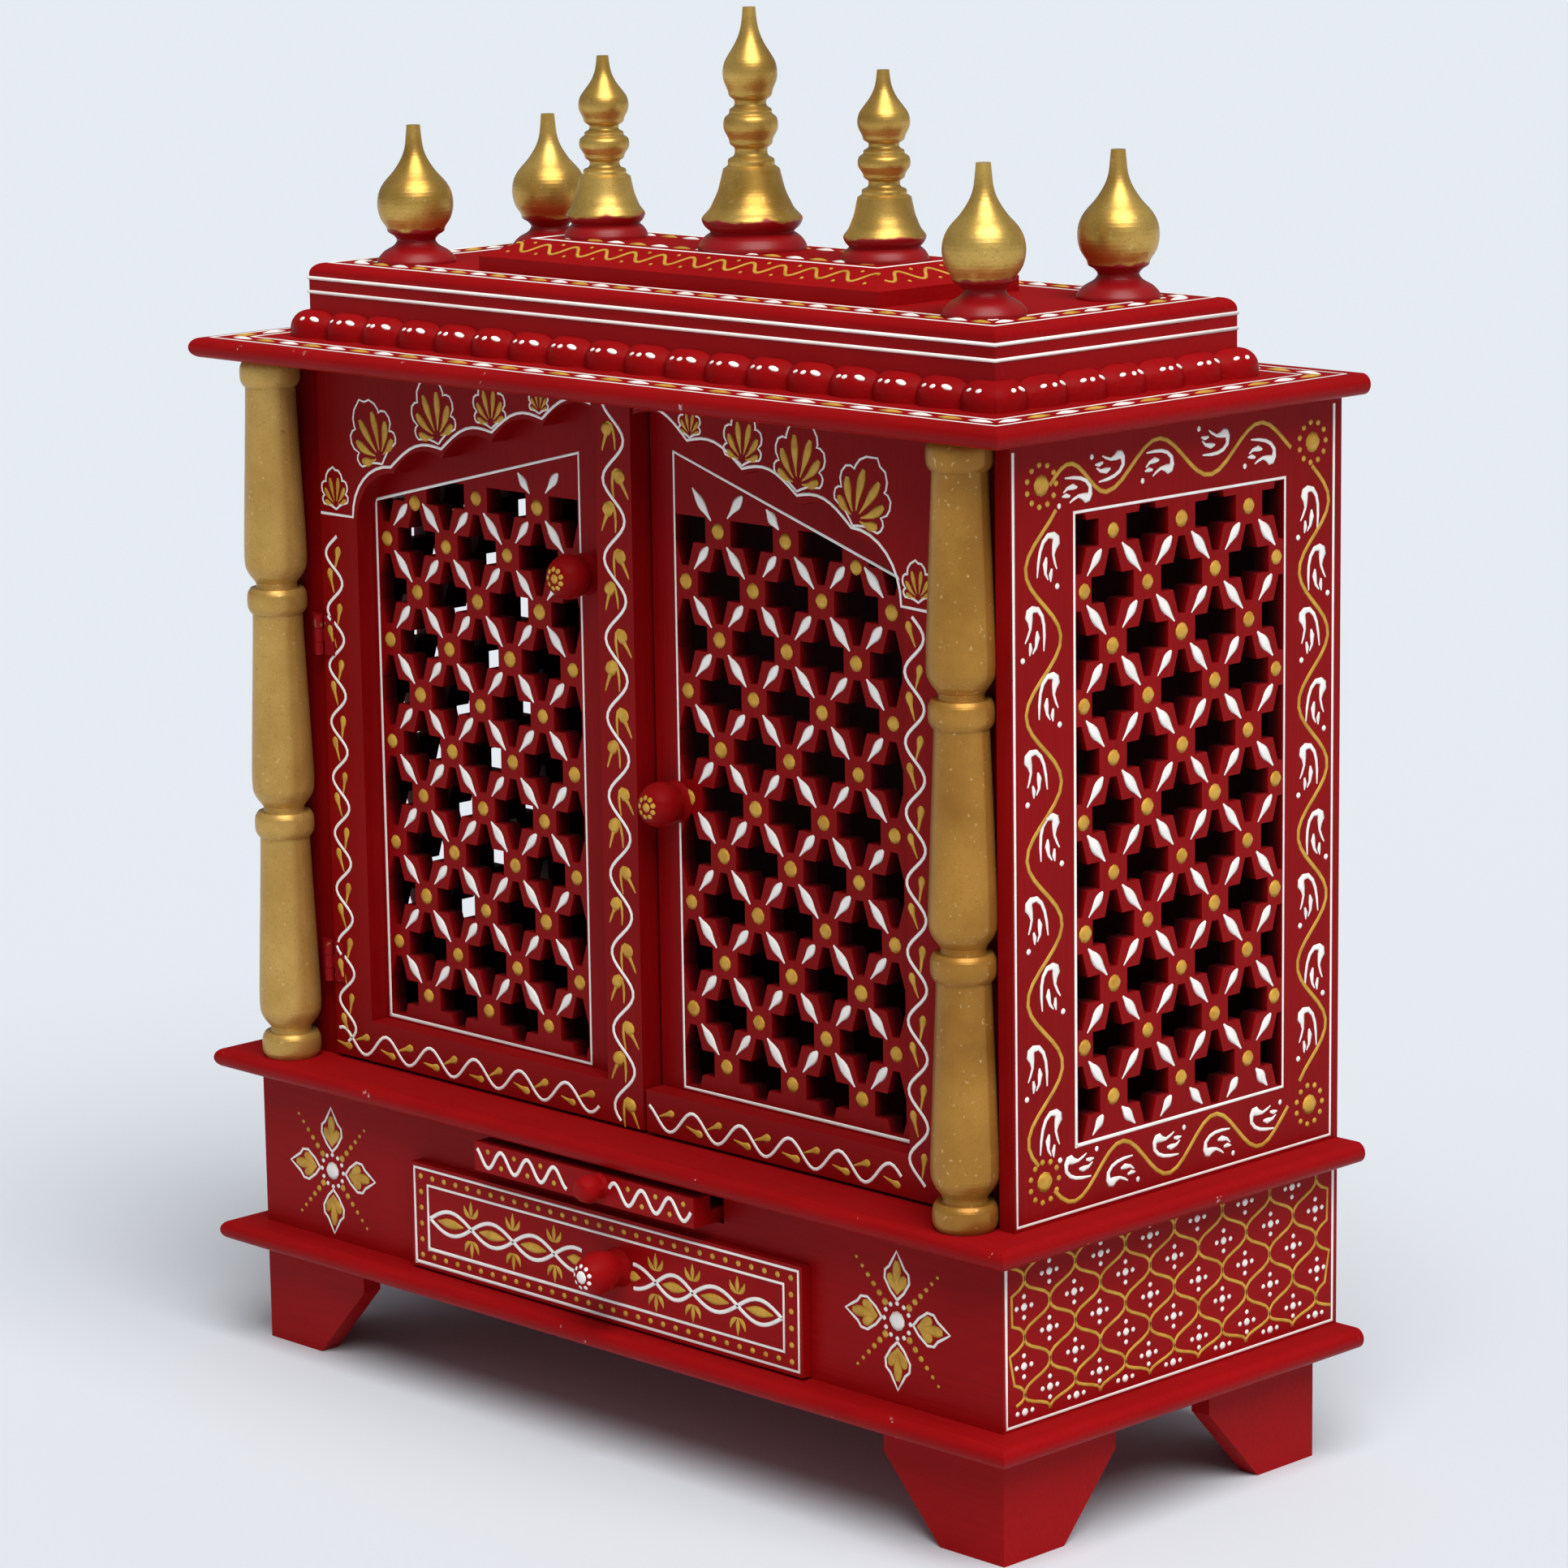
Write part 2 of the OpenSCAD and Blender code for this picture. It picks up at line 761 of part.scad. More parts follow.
module drawer_knob() {
    color(maroon) place() translate([seam_x, drawer_face, base_z + drawer_knob_z])
        turned_forward(knob_outline(drawer_knob_len, drawer_knob_r));
}

// Tray: a board with a deeper front bar, drawn out through the slot

module tray_front() {
    color(maroon) place()
        board([-tray_x, tray_x], [tray_face, tray_face + tray_front_t], [tray_z, tray_z + tray_front_h]);
}

module tray_board() {
    color(maroon) place() board([-tray_x, tray_x],
        [tray_face + tray_front_t, tray_face + tray_front_t + tray_d], [tray_z, tray_z + tray_t]);
}

module tray_knob() {
    color(maroon) place() translate([seam_x, tray_face, tray_z + tray_front_h * 0.6])
        turned_forward(knob_outline(tray_knob_len, tray_knob_r));
}

// Top: a plinth with a row of half beads round its foot, and a smaller step with a sloped edge

// A round cushion with a well rounded upper edge
module bead() {
    rotate_extrude() {
        square([bead_r, bead_h - bead_round]);
        square([bead_r - bead_round, bead_h]);
        translate([bead_r - bead_round, bead_h - bead_round]) intersection() {
            circle(bead_round);
            square(bead_round);
        }
    }
}

// Beads along one side of the plinth, w long and d/2 from its middle, mitred at both ends
module bead_row(w, d, beads) {
    pitch = (w + 2 * bead_out) / beads;
    intersection() {
        for (i = [0:beads - 1])
            translate([(i - (beads - 1) / 2) * pitch, bead_r - bead_out - d / 2, 0]) bead();
        linear_extrude(bead_r) polygon([
            [-w / 2 - bead_r, -d / 2 - bead_r], [w / 2 + bead_r, -d / 2 - bead_r],
            [w / 2, -d / 2], [-w / 2, -d / 2]
        ]);
    }
}

module bead_moulding() {
    color(maroon) place() translate([0, plinth_y, top_z]) for (turn = [0, 180]) rotate([0, 0, turn]) {
        bead_row(plinth_w, plinth_d, beads_front);
        rotate([0, 0, 90]) bead_row(plinth_d, plinth_w, beads_side);
    }
}

// One half of the plinth's section: a plain face with a rounded upper edge
module plinth_section(half) {
    union() {
        translate([-half, 0]) square([2 * half, plinth_h - plinth_round]);
        translate([plinth_round - half, 0]) square([2 * (half - plinth_round), plinth_h]);
        for (side = [-1, 1]) translate([side * (half - plinth_round), plinth_h - plinth_round])
            circle(plinth_round);
    }
}

module plinth() {
    color(maroon) place() translate([0, plinth_y, top_z]) intersection() {
        translate([0, plinth_d / 2, 0]) rotate([90, 0, 0]) linear_extrude(plinth_d)
            plinth_section(plinth_w / 2);
        translate([-plinth_w / 2, 0, 0]) rotate([90, 0, 90]) linear_extrude(plinth_w)
            plinth_section(plinth_d / 2);
    }
}

// One face of the step: an upright edge, then a slope to a level top
module step_section(half) {
    polygon([
        [-half, 0], [half, 0], [half, step_edge], [half - step_run, step_edge + step_rise],
        [step_run - half, step_edge + step_rise], [-half, step_edge]
    ]);
}

module upper_step() {
    color(maroon) place() translate([0, step_y, plinth_top]) intersection() {
        translate([0, step_d / 2, 0]) rotate([90, 0, 0]) linear_extrude(step_d) step_section(step_w / 2);
        translate([-step_w / 2, 0, 0]) rotate([90, 0, 90]) linear_extrude(step_w) step_section(step_d / 2);
    }
}

// Corner finials: a flared foot, a narrow neck and an onion over a collar, drawn out to a point
function finial_outline() = scaled(smooth([
    [1.04, 0], [1.03, 0.025], [0.94, 0.06], [0.82, 0.09], [0.6, 0.125], [0.51, 0.165], [0.6, 0.2],
    [0.74, 0.225], [0.78, 0.26], [0.93, 0.325], [1, 0.41], [0.97, 0.5], [0.83, 0.58], [0.56, 0.665],
    [0.35, 0.755], [0.25, 0.83], [0.21, 0.91], [0.18, 1]
], 3), finial_r, finial_h);

module finial(side, end) {
    color(gold) place() translate([side * finial_x, plinth_y + end * finial_y, plinth_top])
        turned(finial_outline());
}

module finial_front_left() {
    finial(-1, -1);
}

module finial_front_right() {
    finial(1, -1);
}

module finial_back_left() {
    finial(-1, 1);
}

module finial_back_right() {
    finial(1, 1);
}

// Spires: a flared foot and a bell, then a bead and a small onion, each over a narrow neck
function spire_foot(h, r, bead) = [
    for (p = concat(
        smooth([[1, 0], [0.98, 0.02], [0.8, 0.05], [0.53, 0.073]], 3),
        smooth([
            [0.56, 0.08], [0.75, 0.1], [0.85, 0.125], [0.8, 0.14], [0.56, 0.17], [0.4, 0.205],
            [0.25, 0.243], [0.13, 0.293], [0.04, 0.335]
        ], 3)
    )) [bead + p[0] * (r - bead), p[1] * h]
];
function spire_head(h, bead) = scaled(smooth([
    [0.86, 0.35], [0.84, 0.375], [0.63, 0.39], [0.61, 0.42], [0.77, 0.437], [0.82, 0.46], [0.98, 0.495],
    [1, 0.525], [0.94, 0.548], [0.79, 0.563], [0.77, 0.58], [0.6, 0.595], [0.6, 0.618], [0.77, 0.635],
    [0.83, 0.66], [0.97, 0.7], [1, 0.735], [0.93, 0.775], [0.76, 0.81], [0.52, 0.855], [0.36, 0.9],
    [0.28, 0.945], [0.235, 1]
], 3), bead, h);

module spire(x, h, r, bead) {
    color(gold) place() translate([x, step_y, step_top])
        turned(concat(spire_foot(h, r, bead), spire_head(h, bead)));
}

module left_spire() {
    spire(-spire_x, spire_h, spire_r, spire_bead_r);
}

module middle_spire() {
    spire(mid_spire_x, mid_spire_h, mid_spire_r, mid_spire_bead_r);
}

module right_spire() {
    spire(spire_x, spire_h, spire_r, spire_bead_r);
}

foot_front_left();
foot_front_right();
foot_back_left();
foot_back_right();
bottom_ledge();
base_front_left();
base_front_right();
base_front_rail();
base_sides();
base_back();
tray_runners();
mid_ledge();
left_side_panel();
right_side_panel();
back_panel();
front_posts();
left_column();
right_column();
cornice();
bead_moulding();
plinth();
upper_step();
finial_front_left();
finial_front_right();
finial_back_left();
finial_back_right();
left_spire();
middle_spire();
right_spire();
door_hinges();
left_door_jali();
left_door_stile();
left_door_rail();
left_door_spandrel();
seam_strip();
left_door_knob();
left_door_hinges();
right_door_jali();
right_door_stile();
right_door_rail();
right_door_spandrel();
right_door_knob();
right_door_hinges();
drawer_front();
drawer_box();
drawer_knob();
tray_front();
tray_board();
tray_knob();
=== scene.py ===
import math
import random

import bmesh
import bpy
from mathutils import Matrix, Vector
from mathutils.bvhtree import BVHTree


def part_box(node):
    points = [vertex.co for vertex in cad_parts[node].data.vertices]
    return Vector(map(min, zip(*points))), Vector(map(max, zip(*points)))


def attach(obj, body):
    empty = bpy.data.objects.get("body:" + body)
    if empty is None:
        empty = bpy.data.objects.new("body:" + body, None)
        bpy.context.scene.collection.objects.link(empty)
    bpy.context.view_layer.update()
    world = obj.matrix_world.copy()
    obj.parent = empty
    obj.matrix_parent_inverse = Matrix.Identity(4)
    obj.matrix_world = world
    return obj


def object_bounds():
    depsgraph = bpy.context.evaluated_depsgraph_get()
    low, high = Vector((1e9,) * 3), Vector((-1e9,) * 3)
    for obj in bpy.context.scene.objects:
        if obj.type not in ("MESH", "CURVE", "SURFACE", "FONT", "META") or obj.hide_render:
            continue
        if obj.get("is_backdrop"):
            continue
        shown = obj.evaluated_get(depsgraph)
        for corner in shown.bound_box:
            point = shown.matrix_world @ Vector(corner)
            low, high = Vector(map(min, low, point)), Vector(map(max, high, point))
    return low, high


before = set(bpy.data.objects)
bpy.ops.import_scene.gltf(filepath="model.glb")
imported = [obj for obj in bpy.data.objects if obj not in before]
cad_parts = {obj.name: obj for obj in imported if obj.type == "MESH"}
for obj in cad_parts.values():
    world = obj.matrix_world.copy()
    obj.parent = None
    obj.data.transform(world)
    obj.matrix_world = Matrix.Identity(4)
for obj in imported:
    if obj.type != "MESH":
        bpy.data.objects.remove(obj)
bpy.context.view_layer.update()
scene = bpy.context.scene
scene.view_settings.view_transform = "Standard"
random.seed(7)


# Studio: the shrine stands on a pale floor that runs off as far as the camera sees.
# One broad lamp stands high on the right, and a pale sky fills in from all round.
def new_material(name):
    material = bpy.data.materials.new(name)
    material.use_nodes = True
    tree = material.node_tree
    return material, tree, tree.nodes["Principled BSDF"]


floor_reach = 400.0
floor_bm = bmesh.new()
bmesh.ops.create_grid(floor_bm, x_segments=1, y_segments=1, size=floor_reach)
floor_mesh = bpy.data.meshes.new("floor")
floor_bm.to_mesh(floor_mesh)
floor_bm.free()
floor = bpy.data.objects.new("floor", floor_mesh)
scene.collection.objects.link(floor)
floor_paint, _, shader = new_material("pale_floor")
shader.inputs["Base Color"].default_value = (0.67, 0.715, 0.77, 1)
shader.inputs["Roughness"].default_value = 0.9
shader.inputs["Specular IOR Level"].default_value = 0.0
floor_mesh.materials.append(floor_paint)
floor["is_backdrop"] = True

world = bpy.data.worlds.new("studio_air")
scene.world = world
world.use_nodes = True
air = world.node_tree.nodes["Background"]
air.inputs["Color"].default_value = (0.93, 0.96, 1.0, 1)
air.inputs["Strength"].default_value = 0.26

lamp = bpy.data.lights.new("soft_lamp", "SUN")
lamp.energy = 3.4
lamp.angle = math.radians(50)
lamp.color = (1.0, 0.985, 0.96)
lamp_object = bpy.data.objects.new("soft_lamp", lamp)
lamp_object.rotation_mode = "QUATERNION"
towards_lamp = Vector((0.50, -0.26, 0.95))
lamp_object.rotation_quaternion = towards_lamp.to_track_quat("Z", "Y")
scene.collection.objects.link(lamp_object)

camera = bpy.data.cameras.new("camera")
camera.lens = 122.58
camera.sensor_width = 36.0
camera_object = bpy.data.objects.new("camera", camera)
yaw, pitch, roll = 0.793862, 0.197447, -0.0146608
target, distance = Vector((0.0012, 0.0225, 0.33935)), 2.8785
back = Vector((math.sin(yaw) * math.cos(pitch), -math.cos(yaw) * math.cos(pitch), math.sin(pitch)))
level = Vector((math.cos(yaw), math.sin(yaw), 0))
upward = back.cross(level)
right = level * math.cos(roll) + upward * math.sin(roll)
up = upward * math.cos(roll) - level * math.sin(roll)
turn = Matrix((right, up, back)).transposed().to_4x4()
camera_object.matrix_world = Matrix.Translation(target + back * distance) @ turn
scene.collection.objects.link(camera_object)
scene.camera = camera_object


# Feet: four brackets of board, each an L in plan, with slanting ends sawn under the bottom ledge.
# They are brushed with red enamel, whose brush marks run along the board.
def add_node(tree, kind, **inputs):
    node = tree.nodes.new(kind)
    for key, value in inputs.items():
        if hasattr(node, key):
            setattr(node, key, value)
        else:
            node.inputs[key.replace("_", " ")].default_value = value
    return node


def add_noise(tree, place, scale, detail, rough=0.5):
    noise = add_node(tree, "ShaderNodeTexNoise", Scale=scale, Detail=detail, Roughness=rough)
    tree.links.new(place, noise.inputs["Vector"])
    return noise.outputs["Fac"]


def add_ramp(tree, value, start, end, low=0.0, high=1.0):
    """Goes from low to high while value goes from start to end."""
    ramp = add_node(tree, "ShaderNodeMapRange", From_Min=start, From_Max=end, To_Min=low,
                    To_Max=high)
    tree.links.new(value, ramp.inputs["Value"])
    return ramp.outputs[0]


def add_maths(tree, operation, *values):
    """One step of arithmetic on plain numbers and on what other nodes give."""
    step = add_node(tree, "ShaderNodeMath", operation=operation)
    for socket, value in zip(step.inputs, values):
        if isinstance(value, float):
            socket.default_value = value
        else:
            tree.links.new(value, socket)
    return step.outputs[0]


def add_tones(tree, value, low, dark, high, light):
    """Two tones of a colour: dark where value is below low, light where it is above high."""
    tones = tree.nodes.new("ShaderNodeValToRGB")
    stops = tones.color_ramp.elements
    stops[0].position, stops[0].color = low, (*dark, 1)
    stops[1].position, stops[1].color = high, (*light, 1)
    tree.links.new(value, tones.inputs[0])
    return tones.outputs[0]


def add_mix(tree, share, under, over):
    """One colour over another by a share; each is a plain colour or what another node gives."""
    mix = add_node(tree, "ShaderNodeMix", data_type="RGBA")
    tree.links.new(share, mix.inputs[0])
    for socket, colour in ((mix.inputs[6], under), (mix.inputs[7], over)):
        if isinstance(colour, tuple):
            socket.default_value = (*colour, 1)
        else:
            tree.links.new(colour, socket)
    return mix.outputs[2]


def add_bump(tree, shader, height, strength, distance):
    bump = add_node(tree, "ShaderNodeBump", Strength=strength, Distance=distance)
    tree.links.new(height, bump.inputs["Height"])
    tree.links.new(bump.outputs[0], shader.inputs["Normal"])


def split_place(tree, place):
    """A point's place as three numbers, with X counted outwards from the middle."""
    split = tree.nodes.new("ShaderNodeSeparateXYZ")
    tree.links.new(place, split.inputs[0])
    return add_maths(tree, "ABSOLUTE", split.outputs["X"]), split.outputs["Y"], split.outputs["Z"]


def inside_share(tree, place):
    """How far a point lies inside the cabinet, where the enamel is painted dark as shade.

    It is 0 on the outer faces and rises to 1 through the boards."""
    outer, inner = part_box("right_side_panel")[1].x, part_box("right_side_panel")[0].x
    door_face, door_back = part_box("left_door_jali")[0].y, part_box("left_door_jali")[1].y
    back_in, back_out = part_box("back_panel")[0].y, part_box("back_panel")[1].y
    floor_low, floor_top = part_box("mid_ledge")[0].z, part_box("mid_ledge")[1].z
    roof_low, roof_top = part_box("cornice")[0].z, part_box("cornice")[1].z
    x, y, z = split_place(tree, place)
    shares = []
    for value, start, end in ((x, outer, inner), (y, door_face, door_back), (y, back_out, back_in),
                              (z, floor_low, floor_top), (z, roof_top, roof_low)):
        skin = 0.03 * (end - start)
        shares.append(add_ramp(tree, value, start + skin, end - skin))
    least = shares[0]
    for share in shares[1:]:
        least = add_maths(tree, "MINIMUM", least, share)
    return least


def red_enamel(name, grain, painted_light=1.0, worn=None):
    """Red enamel whose brush marks run along the grain axis.

    Its lightness scale makes the coat lighter or darker, as painted light and shade for how much
    light falls on that part, and worn gives the wear of a ledge's edges. Inside the cabinet the
    coat is painted near-black, as painted shade."""
    dark_red, light_red = (0.240, 0.0018, 0.0028), (0.335, 0.0036, 0.0050)
    # A near-black red: painted shade inside the closed cabinet.
    painted_inside_shade = (0.032, 0.0016, 0.0026)
    material, tree, shader = new_material(name)
    link = tree.links.new
    where = tree.nodes.new("ShaderNodeTexCoord")
    place = where.outputs["Object"]
    stretch = tree.nodes.new("ShaderNodeMapping")
    stretch.inputs["Scale"].default_value = [1.0 if axis == grain else 14.0 for axis in "XYZ"]
    link(place, stretch.inputs["Vector"])
    streaks = add_noise(tree, stretch.outputs[0], scale=26.0, detail=6.0, rough=0.6)
    clouds = add_noise(tree, place, scale=9.0, detail=3.0)
    both = add_node(tree, "ShaderNodeMix", data_type="FLOAT")
    both.inputs[0].default_value = 0.45
    link(clouds, both.inputs[2])
    link(streaks, both.inputs[3])
    # Both reds are scaled together, lighter or darker: painted light and shade for this part.
    coat = add_tones(tree, both.outputs[0], 0.30, [painted_light * part for part in dark_red],
                     0.70, [painted_light * part for part in light_red])
    # Painted shade: the coat darkens to a near-black red inside the cabinet and down the walls of
    # the lattice holes.
    outside = add_maths(tree, "SUBTRACT", 1.0, inside_share(tree, place))
    colour = add_mix(tree, add_maths(tree, "POWER", outside, 3.0), painted_inside_shade, coat)
    if worn:
        colour = worn(tree, place, colour)
    link(colour, shader.inputs["Base Color"])
    facing = tree.nodes.new("ShaderNodeSeparateXYZ")
    link(where.outputs["Normal"], facing.inputs[0])
    gloss = add_ramp(tree, streaks, 0.0, 1.0, low=0.28, high=0.46)
    dust = add_ramp(tree, facing.outputs["Z"], 0.3, 0.95, high=0.4)
    link(add_maths(tree, "ADD", gloss, dust), shader.inputs["Roughness"])
    shader.inputs["Specular IOR Level"].default_value = 0.06
    add_bump(tree, shader, streaks, strength=0.16, distance=0.0012)
    return material


def dress(material, *nodes):
    for node in nodes:
        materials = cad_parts[node].data.materials
        materials.clear()
        materials.append(material)


# The feet's coat is painted 14% lighter: painted light from the bright floor below.
dress(red_enamel("red_enamel_feet", "X", painted_light=1.14),
      "foot_front_left", "foot_front_right", "foot_back_left", "foot_back_right")


# Ledges: three boards with rounded edges, nailed on as the bottom, the middle and the cornice.
# The enamel has rubbed and chipped along their edges, where a pale undercoat shows.
def rubbed_edge(tree, place, colour):
    """Chips of pale undercoat within a few millimetres of the ledge's front and side edges."""
    undercoat, reach = (0.60, 0.36, 0.33), 0.004
    low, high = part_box("cornice")
    x, y, _ = split_place(tree, place)
    from_side = add_ramp(tree, x, high.x - reach, high.x)
    from_front = add_ramp(tree, y, low.y + reach, low.y)
    edge = add_maths(tree, "MAXIMUM", from_side, from_front)
    chips = add_noise(tree, place, scale=95.0, detail=4.0, rough=0.65)
    bare = add_maths(tree, "MULTIPLY", edge, add_ramp(tree, chips, 0.685, 0.71))
    return add_mix(tree, bare, colour, undercoat)


dress(red_enamel("red_enamel_ledge", "X", worn=rubbed_edge), "bottom_ledge", "mid_ledge", "cornice")


# Base: a low box of boards between two ledges, with a rail over the drawer and strips for the
# tray inside. White and gold lines are piped on it: a flower at each end of the front, and a
# trellis on each side.
def paint(name, light, dark, metal):
    """Thick water paint, a little uneven in tone, that dries in a soft ridge."""
    material, tree, shader = new_material(name)
    place = tree.nodes.new("ShaderNodeTexCoord").outputs["Object"]
    blots = add_noise(tree, place, scale=120.0, detail=3.0, rough=0.6)
    tree.links.new(add_tones(tree, blots, 0.34, dark, 0.62, light), shader.inputs["Base Color"])
    shader.inputs["Metallic"].default_value = metal
    shader.inputs["Roughness"].default_value = 0.5
    shader.inputs["Specular IOR Level"].default_value = 0.25
    add_bump(tree, shader, blots, strength=0.25, distance=0.0006)
    return material


white_paint = paint("white_paint", (0.97, 0.955, 0.91), (0.88, 0.86, 0.81), metal=0.0)
gold_line = paint("gold_line_paint", (0.66, 0.385, 0.055), (0.50, 0.255, 0.028), metal=0.10)
back_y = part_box("cornice")[1].y
lens_shape = (0.12, 0.55, 0.92, 1.0, 0.85, 0.5, 0.12)
comma_shape = (0.45, 0.92, 1.0, 0.85, 0.55, 0.32, 0.14)


def front_plane(node):
    """The front face of a node: u runs along X and v up, in millimetres."""
    return Matrix(((1, 0, 0, 0), (0, 0, -1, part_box(node)[0].y), (0, 1, 0, 0), (0, 0, 0, 1)))


def side_planes(node):
    """The two outer faces of a node's plan: u runs along Y from the back of the ledges and v up."""
    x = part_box(node)[1].x
    return [Matrix(((0, 0, side, side * x), (1, 0, 0, back_y), (0, 1, 0, 0), (0, 0, 0, 1)))
            for side in (1, -1)]


def wave(start, end, middle, reach, period, crest, upright=False, r=1.2, fade=0.0, ogee=0.01):
    """A waving line: it crests at crest and swings by reach about middle, which drifts by fade.

    A greater ogee holds the line longer at its crests."""
    count = max(8, int(abs(end - start) / period * 14))
    points = []
    for i in range(count + 1):
        s = start + (end - start) * i / count
        swing = math.tanh(ogee * math.cos(2 * math.pi * (s - crest) / period)) / math.tanh(ogee)
        t = middle + fade * i / count + reach * swing
        points.append((t, s, r) if upright else (s, t, r))
    return points


def rule(*corners, r=1.2):
    """A ruled line through its corners."""
    return [(u, v, r) for u, v in corners]


def box_rule(low_u, low_v, high_u, high_v, r=1.2):
    """A ruled rectangle whose ends overlap at one corner."""
    return rule((low_u, low_v), (high_u, low_v), (high_u, high_v), (low_u, high_v),
                (low_u, low_v - r), r=r)


def dab(a, b, r, bend=0.0, shape=lens_shape):
    """One touch of the brush from a to b, swung sideways by bend times its length."""
    side = ((a[1] - b[1]) * bend, (b[0] - a[0]) * bend)
    points = []
    for i, share in enumerate(shape):
        t = i / (len(shape) - 1)
        swing = 4 * t * (1 - t)
        points.append((a[0] + (b[0] - a[0]) * t + side[0] * swing,
                       a[1] + (b[1] - a[1]) * t + side[1] * swing, r * share))
    return points


def dot(u, v, r):
    """A round dab, as five points of a short thick stroke."""
    return [(u - 0.97 * r, v, 0.25 * r), (u - 0.6 * r, v, 0.8 * r), (u, v, r),
            (u + 0.6 * r, v, 0.8 * r), (u + 0.97 * r, v, 0.25 * r)]


def ring(u, v, reach, count, r, first=0.0):
    """Dots in a ring about (u, v), from the angle first on."""
    return [dot(u + reach * math.cos(first + i * 2 * math.pi / count),
                v + reach * math.sin(first + i * 2 * math.pi / count), r) for i in range(count)]


def turned_stroke(points, u, v, angle, size=1.0, flip=1):
    """A stroke drawn about the origin, moved to (u, v) and turned by angle."""
    c, s = math.cos(angle) * size, math.sin(angle) * size
    return [(u + c * x * flip - s * y, v + s * x * flip + c * y, r * size) for x, y, r in points]


def pipe(name, work, finish, body, relief):
    """Paint piped on a surface.

    work pairs a plane with its strokes, and relief flattens their ridge."""
    bm = bmesh.new()
    for plane, strokes in work:
        line = bpy.data.curves.new(name, "CURVE")
        line.dimensions = "3D"
        line.twist_mode = "Z_UP"
        line.bevel_depth = 1.0
        line.bevel_resolution = 1
        line.use_fill_caps = True
        for points in strokes:
            spline = line.splines.new("POLY")
            spline.points.add(len(points) - 1)
            for point, (u, v, r) in zip(spline.points, points):
                point.co = (u, v, 0, 1)
                point.radius = r
        holder = bpy.data.objects.new(name, line)
        flat = bpy.data.meshes.new_from_object(holder)
        flat.transform(plane @ Matrix.Diagonal((0.001, 0.001, 0.001 * relief, 1)))
        bm.from_mesh(flat)
        bpy.data.objects.remove(holder)
        bpy.data.curves.remove(line)
        bpy.data.meshes.remove(flat)
    bmesh.ops.recalc_face_normals(bm, faces=bm.faces)
    mesh = bpy.data.meshes.new(name)
    bm.to_mesh(mesh)
    bm.free()
    mesh.polygons.foreach_set("use_smooth", [True] * len(mesh.polygons))
    mesh.materials.append(finish)
    piece = bpy.data.objects.new(name, mesh)
    scene.collection.objects.link(piece)
    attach(piece, body)


def pipe_both(name, planes, white, gold, body, white_relief, gold_relief):
    """White strokes and gold strokes on the same planes."""
    pipe(name + "_white", [(plane, white) for plane in planes], white_paint, body, white_relief)
    pipe(name + "_gold", [(plane, gold) for plane in planes], gold_line, body, gold_relief)


enamel_across = red_enamel("red_enamel_across", "X")
enamel_deep = red_enamel("red_enamel_deep", "Y")
dress(enamel_across, "base_front_left", "base_front_right", "base_front_rail", "base_back",
      "tray_runners")
dress(enamel_deep, "base_sides")

petal_edge = [(0, 11), (-4.5, 15), (-8.6, 21), (-8.2, 25.5), (-5.2, 28), (-3.4, 31), (0, 36.5),
              (3.4, 31), (5.2, 28), (8.2, 25.5), (8.6, 21), (4.5, 15), (0, 11)]
petal_line = [(u, v, 0.8) for u, v in petal_edge]
petal_dabs = [dab((0, 14), tip, 3.1, shape=comma_shape[::-1])
              for tip in ((0, 31.5), (-5.6, 24), (5.6, 24))]
white, gold = [], []
for centre in ((-227, 108.5), (213.5, 112.5)):
    white += [dot(*centre, r=5.2)] + ring(*centre, reach=9.2, count=12, r=1.35)
    for quarter in range(4):
        angle = quarter * math.pi / 2
        white.append(turned_stroke(petal_line, *centre, angle))
        gold += [turned_stroke(stroke, *centre, angle) for stroke in petal_dabs]
        for i in range(6):
            step = 12 + 5.6 * i
            u = centre[0] + step * math.cos(angle + math.pi / 4)
            v = centre[1] + step * math.sin(angle + math.pi / 4)
            gold.append(dot(u, v, 2.1 - 0.22 * i))
pipe_both("base_flower", [front_plane("base_front_left")], white, gold, "cabinet",
          white_relief=0.3, gold_relief=0.22)

front_u, back_u, low_v, high_v = -254.5, -3.5, 71, 153
cell_w, cell_h, cell_u, cell_v = 37.4, 30.2, -204.0, 146.0
low_row = cell_v - 2 * cell_h
trellis_rows = 6


def by_hand(u, v):
    """The trellis as drawn: it climbs a little towards the back, and its lowest row is squeezed."""
    if v < low_row:
        return u, low_row - 0.7 * (low_row - v)
    return u, v + 0.025 * (u + 240) * (v - low_row) / (cell_v - low_row)


white = [rule((front_u, high_v), (front_u, low_v), (back_u, low_v), (back_u, high_v), r=1.1)]
gold = []
for k in range(-3, 12):
    line = wave(cell_v - 2.5 * cell_h, cell_v + cell_h / 3, middle=cell_u + cell_w / 2 * (k + 0.5),
                reach=cell_w / 4 * (1 if k % 2 else -1), period=cell_h, crest=cell_v, upright=True,
                ogee=1.15)
    line = [(*by_hand(u, v), 0.95) for u, v, r in line if front_u + 2.5 < u < back_u - 1.5]
    if len(line) > 3:
        gold.append(line)
for row in range(trellis_rows):
    count, first = (4, math.pi / 2) if row < trellis_rows - 1 else (2, 0.0)
    for column in range(-1, 7):
        u = cell_u + cell_w * (column + (0.5 if row % 2 == 0 else 0))
        if front_u + 5.5 < u < back_u - 4.5:
            u, v = by_hand(u + random.uniform(-1, 1),
                           cell_v - cell_h / 2 * row + random.uniform(-0.7, 0.7))
            v = max(v, low_v + 6)
            white += [dot(u, v, r=2.15)] + ring(u, v, 5.4, count, 1.4, first)
pipe_both("base_side", side_planes("base_sides"), white, gold, "cabinet",
          white_relief=0.3, gold_relief=0.35)


